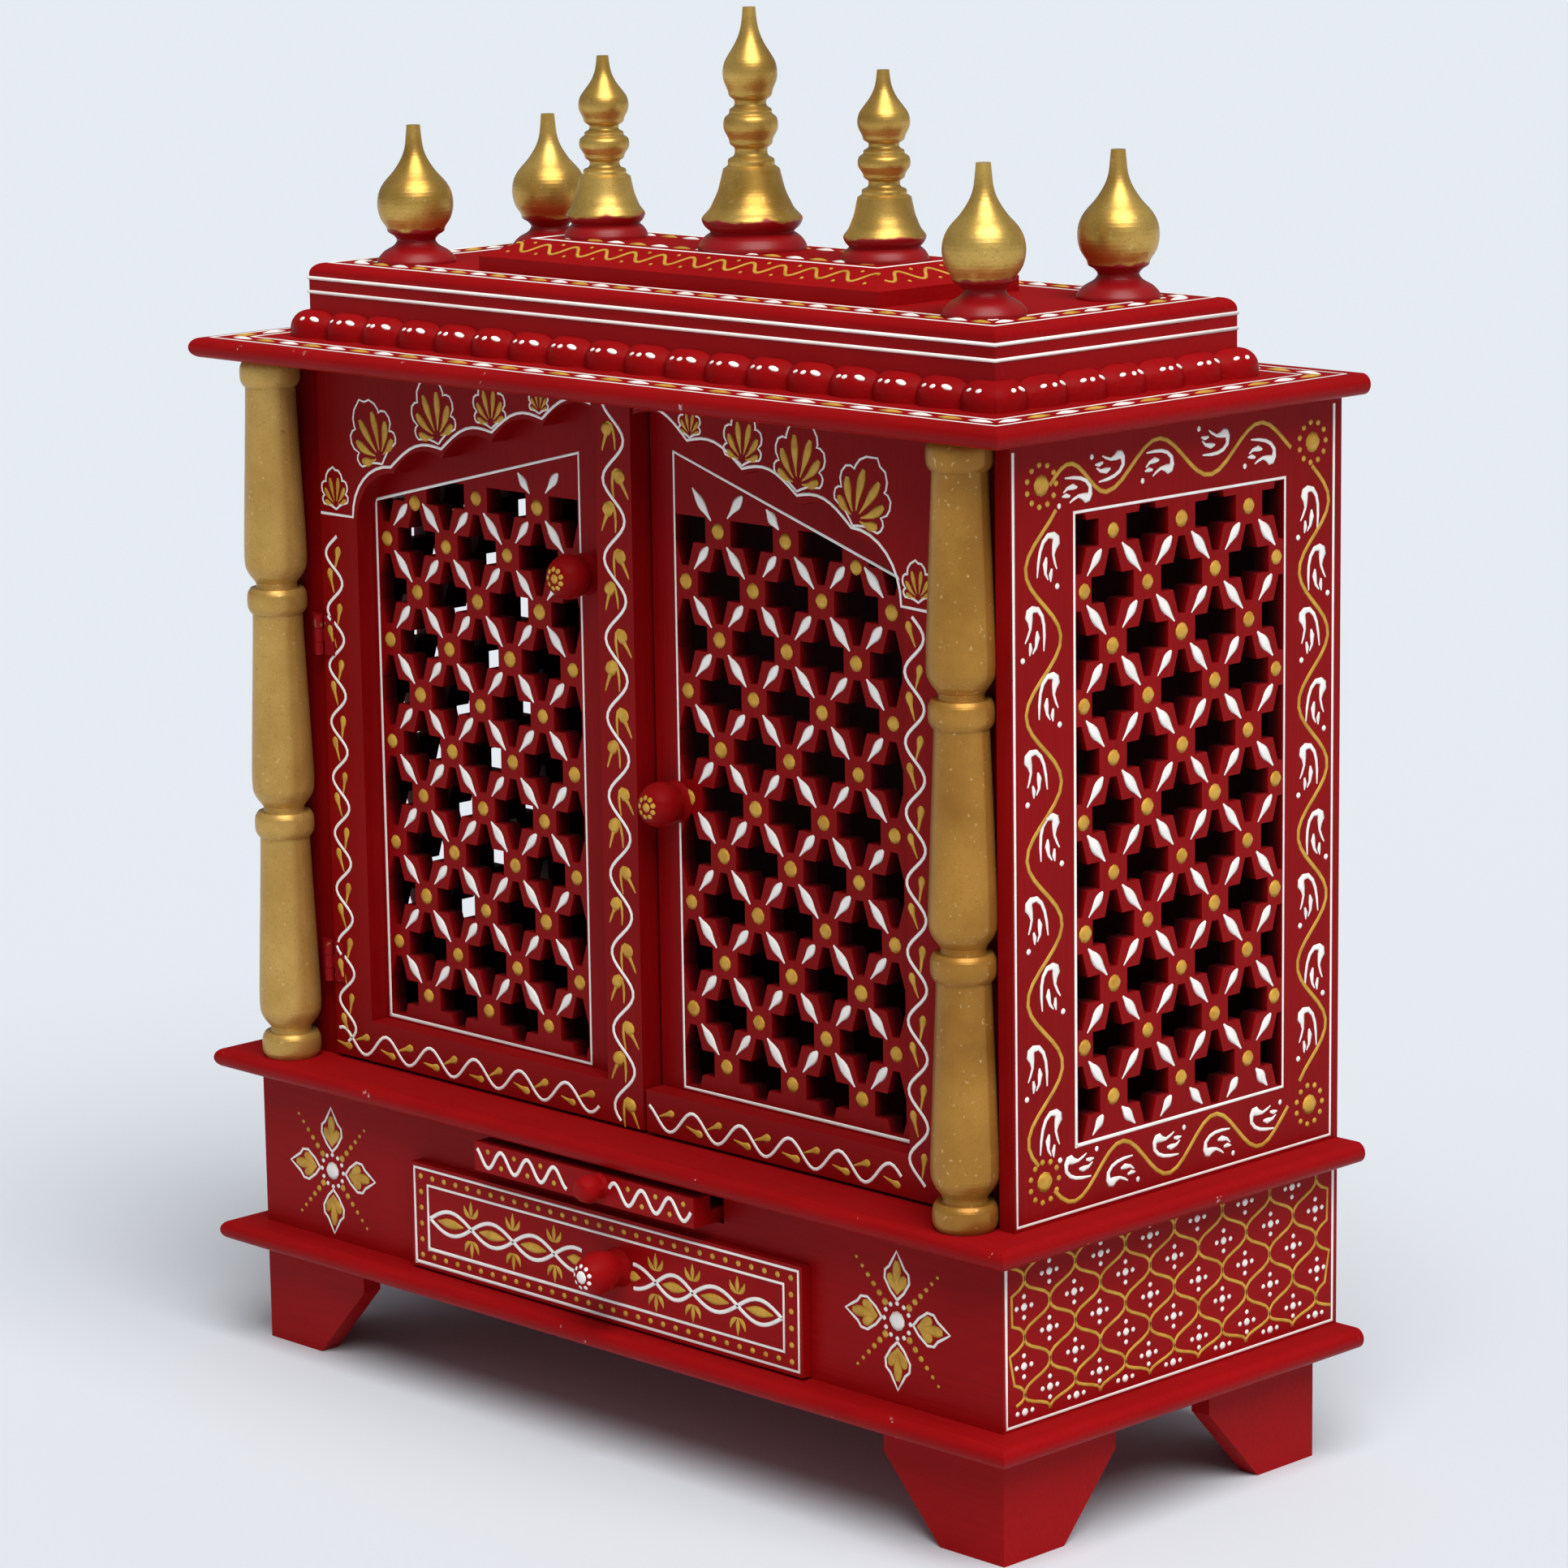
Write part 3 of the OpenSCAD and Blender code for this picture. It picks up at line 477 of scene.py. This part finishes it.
# Drawer: an overlapping front on a plain box, with a turned knob screwed on under the doors' seam.
# The front has a double white border with gold dots, and two plaits with gold lenses and sprigs.
dress(enamel_across, "drawer_front", "drawer_knob")
dress(enamel_deep, "drawer_box")
white = [box_rule(-149.3, 73.2, 149.3, 126.8, r=1.05), box_rule(-138.5, 82, 138.5, 118, r=1.05)]
gold = []
dots_u, dots_low, dots_high, dots_r = 144, 77.6, 122.4, 1.7
for i in range(31):
    u = -dots_u + 9.6 * i
    gold += [dot(u, dots_high, dots_r), dot(u, dots_low, dots_r)]
for i in range(4):
    v = 86.5 + 9 * i
    gold += [dot(-dots_u, v, dots_r), dot(dots_u, v, dots_r)]
plait_v, plait_reach, open_half = 99.5, 6.6, 17
knob_left, knob_right = -14, 26
for start, end, joints in ((-137, knob_left, (-103, -69, -36)), (knob_right, 137, (43, 71, 104.5))):
    stops = [start, *joints, end]
    for a, b in zip(stops, stops[1:]):
        if b == knob_left:
            half, middle = open_half, a + open_half
        elif a == knob_right:
            half, middle = open_half, b - open_half
        else:
            half, middle = (b - a) / 2, (a + b) / 2
        places = [a + (b - a) * i / 10 for i in range(11)]
        for side in (1, -1):
            white.append([(u, plait_v + side * plait_reach
                           * math.cos((u - middle) / half * math.pi / 2), 1.15) for u in places])
        reach = min((b - a) / 2, half) * 0.62
        gold.append(dab((middle - reach, plait_v), (middle + reach, plait_v), 2.9))
    for u in joints:
        for side in (1, -1):
            foot = (u, plait_v + side * 6.5)
            for lean, length in ((0, 9.5), (-5.5, 6.5), (5.5, 6.5)):
                tip = (u + lean, foot[1] + side * length)
                gold.append(dab(foot, tip, 1.55, lean * -0.03 * side))
pipe_both("drawer", [front_plane("drawer_front")], white, gold, "drawer",
          white_relief=0.3, gold_relief=0.25)


def knob_dots(node, reach, count, middle_r, r):
    """A dot on the end of a knob and a ring of dots round it, each lying on the turned surface."""
    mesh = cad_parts[node].data
    skin = BVHTree.FromPolygons([point.co for point in mesh.vertices],
                                [face.vertices for face in mesh.polygons])
    middle = sum(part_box(node), Vector()) / 2
    places = [(0, 0, middle_r)]
    first = 0.3
    for i in range(count):
        angle = 2 * math.pi * i / count + first
        places.append((reach * math.cos(angle), reach * math.sin(angle), r))
    work = []
    for u, v, size in places:
        before = middle + Vector((u / 1000, -0.1, v / 1000))
        hit, normal = skin.ray_cast(before, Vector((0, 1, 0)))[:2]
        turn = normal.to_track_quat("Z", "Y").to_matrix().to_4x4()
        work.append((Matrix.Translation(hit) @ turn, [dot(0, 0, size)]))
    return work


pipe("drawer_knob_rosette", knob_dots("drawer_knob", reach=5.9, count=9, middle_r=3.6, r=1.25),
     white_paint, "drawer", relief=0.2)


# Tray: a board that slides out over the drawer, with a front bar and a small turned knob.
# A white wave with a gold dot in each bend runs on both sides of the knob.
dress(enamel_across, "tray_front", "tray_knob")
dress(enamel_deep, "tray_board")
white, gold = [], []
bend_gap = 10.5
for start, end, crest in ((-83, -12, -64), (21, 83, 25)):
    white.append(wave(start, end, middle=147.2, reach=5.2, period=2 * bend_gap, crest=crest,
                      r=1.15))
    for i in range(-2, 6):
        u = crest + bend_gap * i
        if start + 4 < u < end - 2:
            gold.append(dot(u, 151 if i % 2 else 143.6, r=1.55))
pipe_both("tray", [front_plane("tray_front")], white, gold, "tray",
          white_relief=0.3, gold_relief=0.25)


# Cabinet: two pierced side boards, a thin back board and two front posts stand between the ledges.
# Each side has a ruled window round its lattice, a gold stem with white sprigs, and corner suns.
# The side and back boards are painted 12% darker: painted shade under the cornice.
dress(red_enamel("red_enamel_side", "Z", painted_light=0.88),
      "left_side_panel", "right_side_panel", "back_panel")
# The front posts' coat is painted 30% darker, as painted shade.
dress(red_enamel("red_enamel_post", "Z", painted_light=0.70), "front_posts")
club_shape = (0.25, 0.75, 1.0, 0.95, 0.68, 0.42, 0.26, 0.12)
spindle_shape = (0.16, 0.42, 0.80, 1.0, 0.92, 0.60, 0.34, 0.14)


def lattice_paint(u, v, pitch_u, pitch_v, rows, half_w, top, low):
    """Gold dots at a lattice's crossings and white clubs on its bars, inside its outline.

    u and v place the middle crossing of the top row, and top gives the outline's height."""
    dots, clubs = [], []
    dot_r, dot_gap, dot_pull, club_gap, trim, shortest = 4.3, 7, 6, 3, 0.02, 0.25
    for row in range(-1, rows):
        for column in range(-3, 4):
            here = (u + pitch_u * (column + (row % 2) / 2), v - pitch_v / 2 * row)
            if row >= 0 and abs(here[0] - u) < half_w + dot_pull and low < here[1]:
                dot_u = u + max(-half_w, min(half_w, here[0] - u)) + random.uniform(-0.6, 0.6)
                dot_v = min(here[1] + random.uniform(-0.6, 0.6), top(dot_u) - dot_gap)
                dots.append(dot(dot_u, dot_v, dot_r + random.uniform(-0.3, 0.3)))
            for side in (-1, 1):
                lean = (side * pitch_u / 2, -pitch_v / 2)
                near, far = random.uniform(0.27, 0.31), random.uniform(0.70, 0.76)
                if side == 1:
                    near, far = near - 0.04, far + 0.05
                while near < far and (here[1] + lean[1] * near
                                      > top(here[0] + lean[0] * near) - club_gap):
                    near += trim
                while far > near and here[1] + lean[1] * far < low:
                    far -= trim
                a = (here[0] + lean[0] * near + random.uniform(-0.5, 0.5), here[1] + lean[1] * near)
                b = (here[0] + lean[0] * far + random.uniform(-0.5, 0.5), here[1] + lean[1] * far)
                if far - near > shortest and max(abs(a[0] - u), abs(b[0] - u)) < half_w + club_gap:
                    thick, shape = (1.12, spindle_shape) if side == 1 else (1.0, club_shape)
                    clubs.append(dab(a, b, thick * random.uniform(2.5, 3.0), shape=shape))
    return dots, clubs


sprig = [[(6.6, -6.4, 0.4), (5.0, -3.6, 0.8), (3.4, 0.6, 0.95), (3.8, 4.0, 1.8), (4.9, 6.6, 2.9),
          (4.6, 8.8, 2.7), (2.6, 10.4, 1.9), (-1.4, 10.2, 1.4), (-4.6, 7.0, 1.2), (-6.4, 2.4, 1.1),
          (-7.2, -3.4, 1.0), (-7.4, -10.6, 0.45)],
         [(-1.6, -0.4, 0.6), (-2.2, -3.8, 1.8), (-1.5, -8.6, 1.0), (0.7, -11.7, 0.4)],
         [(2.9, -6.2, 0.7), (2.3, -9.4, 1.4), (2.7, -12.7, 0.4)],
         dot(7.6, -15.0, r=1.6)]
gold, clubs = lattice_paint(u=-123.5, v=511.8, pitch_u=51.2, pitch_v=57.1, rows=11, half_w=72.5,
                            top=lambda u: 519, low=208.5)
white = clubs + [box_rule(-202.6, 205.8, -44.4, 523.2, r=1.05),
                 rule((-246, 557), (-246, 172.5), (-6, 172.5), (-6, 557), r=1.0)]
for u, v in ((-226, 539), (-23, 539), (-226, 192), (-23, 192)):
    gold += [dot(u, v, r=5.4)] + ring(u, v, reach=10.4, count=11, r=1.6)
gold.append(wave(201, 526, middle=-225, reach=12.5, period=71.2, crest=463, upright=True))
gold.append(wave(206, 527, middle=-21.5, reach=11.5, period=68.6, crest=508, upright=True))
gold.append(wave(-220, -179.4, middle=539.3, reach=8.4, period=53, crest=-205.9)
            + wave(-178.6, -40, middle=542.1, reach=11.2, period=77, crest=-141))
gold.append(wave(-219, -40, middle=189.5, reach=12, period=71, crest=-98))
sprig_places = []
for u, heights, flip in ((-221, (504, 435, 365, 290, 216), 1), (-231, (469, 399, 326, 251), -1),
                         (-25, (505, 443, 372, 304, 233), -1), (-19, (474, 405, 336, 265), 1)):
    sprig_places += [(u, v, 0.0, flip, 0.98) for v in heights]
for angle, places in (
        (-1.57, ((-200, 534), (-176, 543.5), (-140, 541), (-98, 547), (-62, 538))),
        (1.57, ((-201, 195), (-170, 186), (-135, 193), (-96, 186), (-60, 192)))):
    sprig_places += [(u, v, angle, -1 if i % 2 else 1, 0.88) for i, (u, v) in enumerate(places)]
for u, v, angle, flip, size in sprig_places:
    angle += random.uniform(-0.12, 0.12)
    white += [turned_stroke(stroke, u, v, angle, size, flip) for stroke in sprig]
pipe_both("side", side_planes("right_side_panel"), white, gold, "cabinet",
          white_relief=0.16, gold_relief=0.18)


# Columns: two turned posts with rings, dowelled between the ledges in front of the posts.
# Their gold paint has a fine grain, and is rubbed down to a red-brown ground in places.
def gold_leaf(name, light, dark, foot=None):
    """Gold paint on turned wood; below the height foot the wood is red."""
    foot_red, ground = (0.27, 0.003, 0.005), (0.21, 0.055, 0.015)
    grain, glint_fleck = (0.26, 0.11, 0.02), (0.85, 0.66, 0.34)
    material, tree, shader = new_material(name)
    link = tree.links.new
    place = tree.nodes.new("ShaderNodeTexCoord").outputs["Object"]
    clouds = add_noise(tree, place, scale=22.0, detail=4.0, rough=0.55)
    grains = add_noise(tree, place, scale=900.0, detail=2.0, rough=0.6)
    rubs = add_noise(tree, place, scale=48.0, detail=6.0, rough=0.7)
    # Pale flecks of the gold powder, painted brighter than the paint itself: partly the flecks' own
    # colour, partly painted glints.
    glint_flecks = add_noise(tree, place, scale=380.0, detail=1.0)
    skin = add_tones(tree, clouds, 0.32, dark, 0.66, light)
    for source, start, end, most, colour in ((grains, 0.56, 0.70, 0.40, grain),
                                             (rubs, 0.63, 0.74, 0.65, ground),
                                             (glint_flecks, 0.69, 0.76, 0.36, glint_fleck)):
        skin = add_mix(tree, add_ramp(tree, source, start, end, high=most), skin, colour)
    if foot:
        _, _, z = split_place(tree, place)
        brink = add_noise(tree, place, scale=70.0, detail=2.0)
        waver = add_ramp(tree, brink, 0.0, 1.0, low=-0.004, high=0.004)
        above = add_ramp(tree, add_maths(tree, "ADD", z, waver), foot - 0.0007, foot + 0.0007)
        skin = add_mix(tree, above, foot_red, skin)
        link(add_maths(tree, "MULTIPLY", above, 0.75), shader.inputs["Metallic"])
    else:
        shader.inputs["Metallic"].default_value = 0.45
    link(skin, shader.inputs["Base Color"])
    link(add_ramp(tree, clouds, 0.0, 1.0, low=0.28, high=0.46), shader.inputs["Roughness"])
    shader.inputs["Specular IOR Level"].default_value = 0.30
    add_bump(tree, shader, rubs, strength=0.12, distance=0.0008)
    return material


dress(gold_leaf("gold_left_column", (0.60, 0.37, 0.10), (0.43, 0.24, 0.05)), "left_column")
dress(gold_leaf("gold_right_column", (0.46, 0.225, 0.038), (0.30, 0.130, 0.018)), "right_column")


# Doors: each is a pierced board with a stile, a bottom rail and a scalloped head glued on its face.
# The left one carries the strip beside the seam. Vines, palmettes and a ruled field are piped on.
# The doors are painted 20% darker and their rails and knobs 16% darker: painted shade under the
# cornice.
dress(red_enamel("red_enamel_door", "Z", painted_light=0.80),
      "left_door_jali", "left_door_stile", "left_door_spandrel", "seam_strip",
      "right_door_jali", "right_door_stile", "right_door_spandrel")
dress(red_enamel("red_enamel_door_rail", "X", painted_light=0.84),
      "left_door_rail", "right_door_rail", "left_door_knob", "right_door_knob")


bud = [[(0.2, 2.5, 0.7), (0.1, 1.4, 2.0), (0, 0, 2.6), (-0.2, -1.8, 2.2), (-0.7, -4.2, 1.3),
        (-1.4, -7.4, 0.95), (-2.4, -11.4, 0.4)]]
twin_bud = [dot(0, 0, r=4.0),
            [(0.6, 3.0, 0.8), (-2.2, 3.3, 1.05), (-4.2, 1.6, 1.15), (-5.0, -2.0, 1.05),
             (-4.9, -6.6, 0.9), (-4.0, -12.0, 0.45)],
            [(1.0, -2.6, 1.5), (2.8, -5.2, 1.05), (4.6, -8.0, 0.85), (6.2, -10.8, 0.45)]]


def vine(start, end, middle, reach, period, crest, upright, drift=0.0, sprout=bud):
    """A white waving stem with a gold bud in each bend, whose tails turn back to the stem."""
    stem = wave(start, end, middle, reach, period, crest, upright, r=1.0, fade=drift)
    leaves = []
    first, last = sorted((start, end))
    end_gap = 3
    bends = range(math.ceil((first - crest + end_gap) / period * 2),
                  math.floor((last - crest - end_gap) / period * 2) + 1)
    for bend in bends:
        s = crest + bend * period / 2
        side = 1 if bend % 2 else -1
        t = middle + drift * (s - start) / (end - start) + side * 0.56 * reach
        s += 3.6 - 1.6 * side
        flip = side if upright else -side
        size = random.uniform(0.92, 1.06)
        lean = random.uniform(-0.1, 0.1) + (0.16 if flip < 0 else 0.0)
        if upright:
            leaves += [turned_stroke(stroke, t, s, lean, size, flip) for stroke in sprout]
        else:
            leaves += [turned_stroke(stroke, s, t, lean - math.pi / 2, 0.9 * size, flip)
                       for stroke in sprout]
    return stem, leaves


def mm(*values):
    return [1000 * value for value in values]


def over_plates(strokes, plates, reach):
    """The stretches of strokes that cross a hinge leaf, which stands further out than reach."""
    runs = []
    for points in strokes:
        run = []
        for point in points:
            if abs(point[0]) > reach and any(low < point[1] < high for low, high in plates):
                run.append(point)
            else:
                runs.append(run)
                run = []
        runs.append(run)
    return [run for run in runs if len(run) > 1]


def palmette(u, v, lean, size):
    """A gold fan of separate dabs inside a lobed white outline that comes to a point."""
    lobes = ((-1.04, 19), (-0.60, 27), (-0.18, 33), (0.22, 33), (0.62, 27), (1.04, 19))
    edge, fan = [(0, 0), (-3.0, 1.8), (-7.0, 3.8)], []
    for i, (angle, reach) in enumerate(lobes):
        for turn in (-0.2, -0.12, 0, 0.12, 0.2):
            far = reach * (1.06 - 3.0 * turn ** 2 - 0.35 * turn * math.copysign(1, angle))
            if abs(angle + turn) < 0.08:
                continue
            edge.append((far * math.sin(angle + turn), far * math.cos(angle + turn)))
        if i == 2:
            edge.append((0.4, 37.5))
        tip = (0.86 * reach * math.sin(angle), 0.86 * reach * math.cos(angle))
        root = (0.22 * tip[0], 3 + 0.16 * tip[1])
        petal = dab(root, tip, 2.6, -0.10 * angle, comma_shape[::-1])
        fan.append(turned_stroke(petal, u, v, lean, size))
    edge += [(7.0, 3.8), (3.0, 1.8), (0, 0)]
    return turned_stroke([(x, y, 0.65 / size) for x, y in edge], u, v, lean, size), fan


scallop_rise, scallop_r = 6.4, 0.85


def scallop(cusps, foot):
    """The white line along a door's scalloped head, and its fall to the stile."""
    points = []
    for (u0, v0), (u1, v1) in zip(cusps, cusps[1:]):
        for i in range(8):
            t = i / 8
            rise = scallop_rise * math.sin(math.pi * t)
            points.append((u0 + (u1 - u0) * t, v0 + (v1 - v0) * t + rise, scallop_r))
    (u0, v0), (u1, v1) = cusps[-1], foot
    for i in range(9):
        t = i / 8 * math.pi / 2
        points.append((u0 + (u1 - u0) * math.sin(t), v1 + (v0 - v1) * math.cos(t), scallop_r))
    return points


doors = {
    "left": {
        "cusps": [(-17, 556), (-55, 545), (-95, 534.5), (-136, 522), (-178, 508.5)],
        "foot": (-211, 478),
        "stop": (-238, 478),
        "palmettes": ((-185, 508, 0.50, 1.02), (-138, 523, 0.26, 0.98), (-95, 535, 0.12, 0.72),
                      (-57, 546, 0.05, 0.42), (-225, 479.5, 0.1, 0.62)),
        "vines": (
            dict(start=466, end=180, middle=-228.5, reach=6.6, period=31.5, crest=440,
                 upright=True),
            dict(start=-236, end=-22, middle=181, reach=6.6, period=37, crest=-196, upright=False),
            dict(start=557, end=174, middle=-0.8, reach=8.0, period=42, crest=538.6, upright=True,
                 drift=-1.0, sprout=twin_bud)),
        "field": [(-205.4, 196.9), (-205.4, 487), (-40.4, 527), (-40.4, 196.9), (-206.3, 196.9)],
        "field_u": -123,
    },
    "right": {
        "cusps": [(17, 557), (55, 543), (95, 532), (134, 522), (172, 509.5)],
        "foot": (206, 473.5),
        "stop": (230, 472.5),
        "palmettes": ((173, 509, -0.46, 1.05), (134, 522.5, -0.14, 1.0), (95, 532, -0.05, 0.78),
                      (57, 543, 0.0, 0.45), (217.8, 475, 0.1, 0.56)),
        "vines": (
            dict(start=469, end=180, middle=214.5, reach=6.6, period=35.5, crest=459,
                 upright=True),
            dict(start=17, end=202, middle=181, reach=6.6, period=36, crest=50, upright=False)),
        "field": [(203.4, 196.9), (203.4, 481.7), (32, 534), (32, 196.9), (204.3, 196.9)],
        "field_u": 113.5,
    },
}
hinge_len, hinge_leaf, hinge_reach = 22.0, 1.2, 229.5
for name, door in doors.items():
    body = name + "_door"
    face = front_plane(body + "_stile")
    white = [scallop(door["cusps"], door["foot"]) + [(*door["stop"], scallop_r)]]
    gold = []
    for u, v, lean, size in door["palmettes"]:
        outline, fan = palmette(u, v + 1.5, lean, size)
        white.append(outline)
        gold += fan
    for course in door["vines"]:
        stem, sprouts = vine(**course)
        white.append(stem)
        gold += sprouts
    hinge_low, hinge_high = mm(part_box(body + "_hinges")[0].z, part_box(body + "_hinges")[1].z)
    plates = ((hinge_low, hinge_low + hinge_len), (hinge_high - hinge_len, hinge_high))
    plate_face = Matrix.Translation((0, -hinge_leaf / 1000, 0)) @ face
    pipe(body + "_white", [(face, white), (plate_face, over_plates(white, plates, hinge_reach))],
         white_paint, body, relief=0.28)
    pipe(body + "_gold", [(face, gold), (plate_face, over_plates(gold, plates, hinge_reach))],
         gold_line, body, relief=0.18)
    (stile_u, stile_v), (seam_u, seam_v) = door["field"][1:3]
    dots, clubs = lattice_paint(
        u=door["field_u"], v=495, pitch_u=49.4, pitch_v=56.5, rows=11, half_w=75,
        top=lambda u: stile_v + (seam_v - stile_v) * (u - stile_u) / (seam_u - stile_u), low=205)
    clubs.append(rule(*door["field"], r=1.1))
    pipe_both(body + "_lattice", [front_plane(body + "_jali")], clubs, dots, body,
              white_relief=0.16, gold_relief=0.18)
    pipe(body + "_knob_flower", knob_dots(body + "_knob", reach=5.2, count=9, middle_r=2.6, r=1.5),
         gold_line, body, relief=0.25)


# Hinges: small brass butt hinges, two to a door, screwed to the posts and brushed over in red.
# The brass shows where the enamel has rubbed off.
def painted_brass():
    rubbed, bare = 0.62, 0.72
    material, tree, shader = new_material("painted_brass")
    place = tree.nodes.new("ShaderNodeTexCoord").outputs["Object"]
    rub = add_noise(tree, place, scale=160.0, detail=4.0, rough=0.6)
    skin = add_tones(tree, rub, rubbed, (0.24, 0.005, 0.008), bare, (0.50, 0.36, 0.15))
    tree.links.new(skin, shader.inputs["Base Color"])
    tree.links.new(add_ramp(tree, rub, rubbed, bare), shader.inputs["Metallic"])
    shader.inputs["Roughness"].default_value = 0.4
    shader.inputs["Specular IOR Level"].default_value = 0.06
    return material


dress(painted_brass(), "door_hinges", "left_door_hinges", "right_door_hinges")


# Top: a plinth on the cornice with a row of beads round its foot, and a smaller step on it with a
# sloped edge. White lines, dashes on the beads and borders of white and gold are piped on them.
dress(enamel_across, "bead_moulding", "plinth", "upper_step")
cornice_low, cornice_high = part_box("cornice")
plinth_low, plinth_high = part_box("plinth")
step_low, step_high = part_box("upper_step")


def level_plane(z):
    """A level surface: u runs along X and v along Y, in millimetres."""
    return Matrix.Translation((0, 0, z))


def border(low_u, low_v, high_u, high_v, gap, length, r):
    """Dabs in a row round a rectangle, by turns white and gold."""
    rows = ([], [])
    corners = ((low_u, low_v), (high_u, low_v), (high_u, high_v), (low_u, high_v))
    for a, b in zip(corners, corners[1:] + corners[:1]):
        span = math.dist(a, b)
        count = int(span / gap)
        along = ((b[0] - a[0]) / span, (b[1] - a[1]) / span)
        for i in range(count):
            s = (i + 0.5) * span / count
            here = (a[0] + along[0] * s, a[1] + along[1] * s)
            half = (along[0] * length / 2, along[1] * length / 2)
            rows[i % 2].append(dab((here[0] - half[0], here[1] - half[1]),
                                   (here[0] + half[0], here[1] + half[1]), r))
    return rows


def plan_of(low, high):
    """A node's outline from above, in millimetres."""
    return mm(low.x, low.y, high.x, high.y)


def inset(plan, by):
    u0, v0, u1, v1 = plan
    return u0 + by, v0 + by, u1 - by, v1 - by


plan = plan_of(cornice_low, cornice_high)
white, gold = border(*inset(plan, 17), gap=19.5, length=16, r=3.2)
white += [box_rule(*inset(plan, by), r=0.9) for by in (9, 25)]
pipe_both("cornice", [level_plane(cornice_high.z)], white, gold, "cabinet",
          white_relief=0.3, gold_relief=0.3)

plan = plan_of(plinth_low, plinth_high)
white, gold = border(*inset(plan, 17), gap=16, length=13, r=3.2)
white += [box_rule(*inset(plan, by), r=1.1) for by in (8, 26)]
pipe_both("plinth_top", [level_plane(plinth_high.z)], white, gold, "cabinet",
          white_relief=0.3, gold_relief=0.3)
line_heights = (0.5973, 0.605)
pipe("plinth_lines", [(level_plane(z), [box_rule(*plan, r=1.05)]) for z in line_heights],
     white_paint, "cabinet", relief=1.0)


def four_sides(plan, z):
    """For each side of a plan: a plane at its middle that looks outwards, its width and depth."""
    u0, v0, u1, v1 = plan
    middle = Matrix.Translation(((u0 + u1) / 2000, (v0 + v1) / 2000, z))
    for quarter in range(4):
        sizes = (u1 - u0, v1 - v0) if quarter % 2 == 0 else (v1 - v0, u1 - u0)
        yield middle @ Matrix.Rotation(quarter * math.pi / 2, 4, "Z"), *sizes


bead_r, bead_out, bead_h, bead_round = 21.0, 11.0, 14.6, 10.2
bead_counts = (18, 7, 18, 7)
climb = math.radians(36)
dash_reach = bead_r - bead_round + bead_round * math.cos(climb) - 0.15
dash_z = bead_h - bead_round + bead_round * math.sin(climb) - 0.1
shoulder = Matrix.Translation((0, -dash_reach / 1000, dash_z / 1000))
tip = Matrix.Rotation(math.pi / 2 - climb, 4, "X")
blunt_shape = (0.40, 0.84, 1.0, 1.0, 0.84, 0.40)
dashes = ((-0.30, dab((-1.8, -0.5), (1.8, 0.5), 1.25, shape=blunt_shape)),
          (0.02, dab((-1.7, -0.3), (1.7, 0.4), 1.4, shape=blunt_shape)),
          (0.44, dab((-2.7, 0.9), (2.7, -0.9), 1.6, shape=blunt_shape)))
work = []
for beads, (to_side, w, d) in zip(bead_counts, four_sides(plan, cornice_high.z)):
    pitch = (w + 2 * bead_out) / beads
    for i in range(beads):
        bead = Vector(((i - (beads - 1) / 2) * pitch, bead_r - bead_out - d / 2, 0)) / 1000
        for spread, dash in dashes:
            if (i == 0 and spread < -0.2) or (i == beads - 1 and spread > 0.3):
                continue
            swing = Matrix.Rotation(spread + random.uniform(-0.05, 0.05), 4, "Z")
            work.append((to_side @ Matrix.Translation(bead) @ swing @ shoulder @ tip, [dash]))
pipe("bead_dashes", work, white_paint, "cabinet", relief=0.3)

plan = plan_of(step_low, step_high)
step_run, step_rise, step_end = 20.0, 9.0, 14
slope = Matrix.Rotation(math.atan2(step_rise, step_run), 4, "X")
period = 22.4
work = []
for to_side, w, d in four_sides(plan, step_high.z - step_rise / 1000):
    half = w / 2 - step_end
    strokes = [wave(-half, half, middle=12.5, reach=4.6, period=period, crest=0, r=1.1)]
    count = int(half / period)
    for i in range(-count, count + 1):
        strokes.append(dot(period * i, 7.0, r=1.2))
        if abs(period * (i + 0.5)) < half:
            strokes.append(dot(period * (i + 0.5), 18, r=1.2))
    work.append((to_side @ Matrix.Translation((0, -d / 2000, 0)) @ slope, strokes))
pipe("step_gold", work, gold_line, "cabinet", relief=0.3)
white, gold = border(*inset(plan, 32), gap=16, length=13, r=3.2)
white.append(box_rule(*inset(plan, 21), r=1.2))
pipe_both("step_top", [level_plane(step_high.z)], white, gold, "cabinet",
          white_relief=0.3, gold_relief=0.3)


# Finials and spires: turned knops dowelled into the plinth's corners and the step.
# They are gold above a red foot.
bright_gold, deep_gold = (0.68, 0.45, 0.115), (0.42, 0.235, 0.042)
low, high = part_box("finial_front_left")
dress(gold_leaf("gold_finial", bright_gold, deep_gold, foot=low.z + 0.25 * (high.z - low.z)),
      "finial_front_left", "finial_front_right", "finial_back_left", "finial_back_right")
low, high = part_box("left_spire")
dress(gold_leaf("gold_side_spire", bright_gold, deep_gold, foot=low.z + 0.13 * (high.z - low.z)),
      "left_spire", "right_spire")
low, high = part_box("middle_spire")
dress(gold_leaf("gold_middle_spire", bright_gold, deep_gold, foot=low.z + 0.13 * (high.z - low.z)),
      "middle_spire")

low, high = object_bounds()
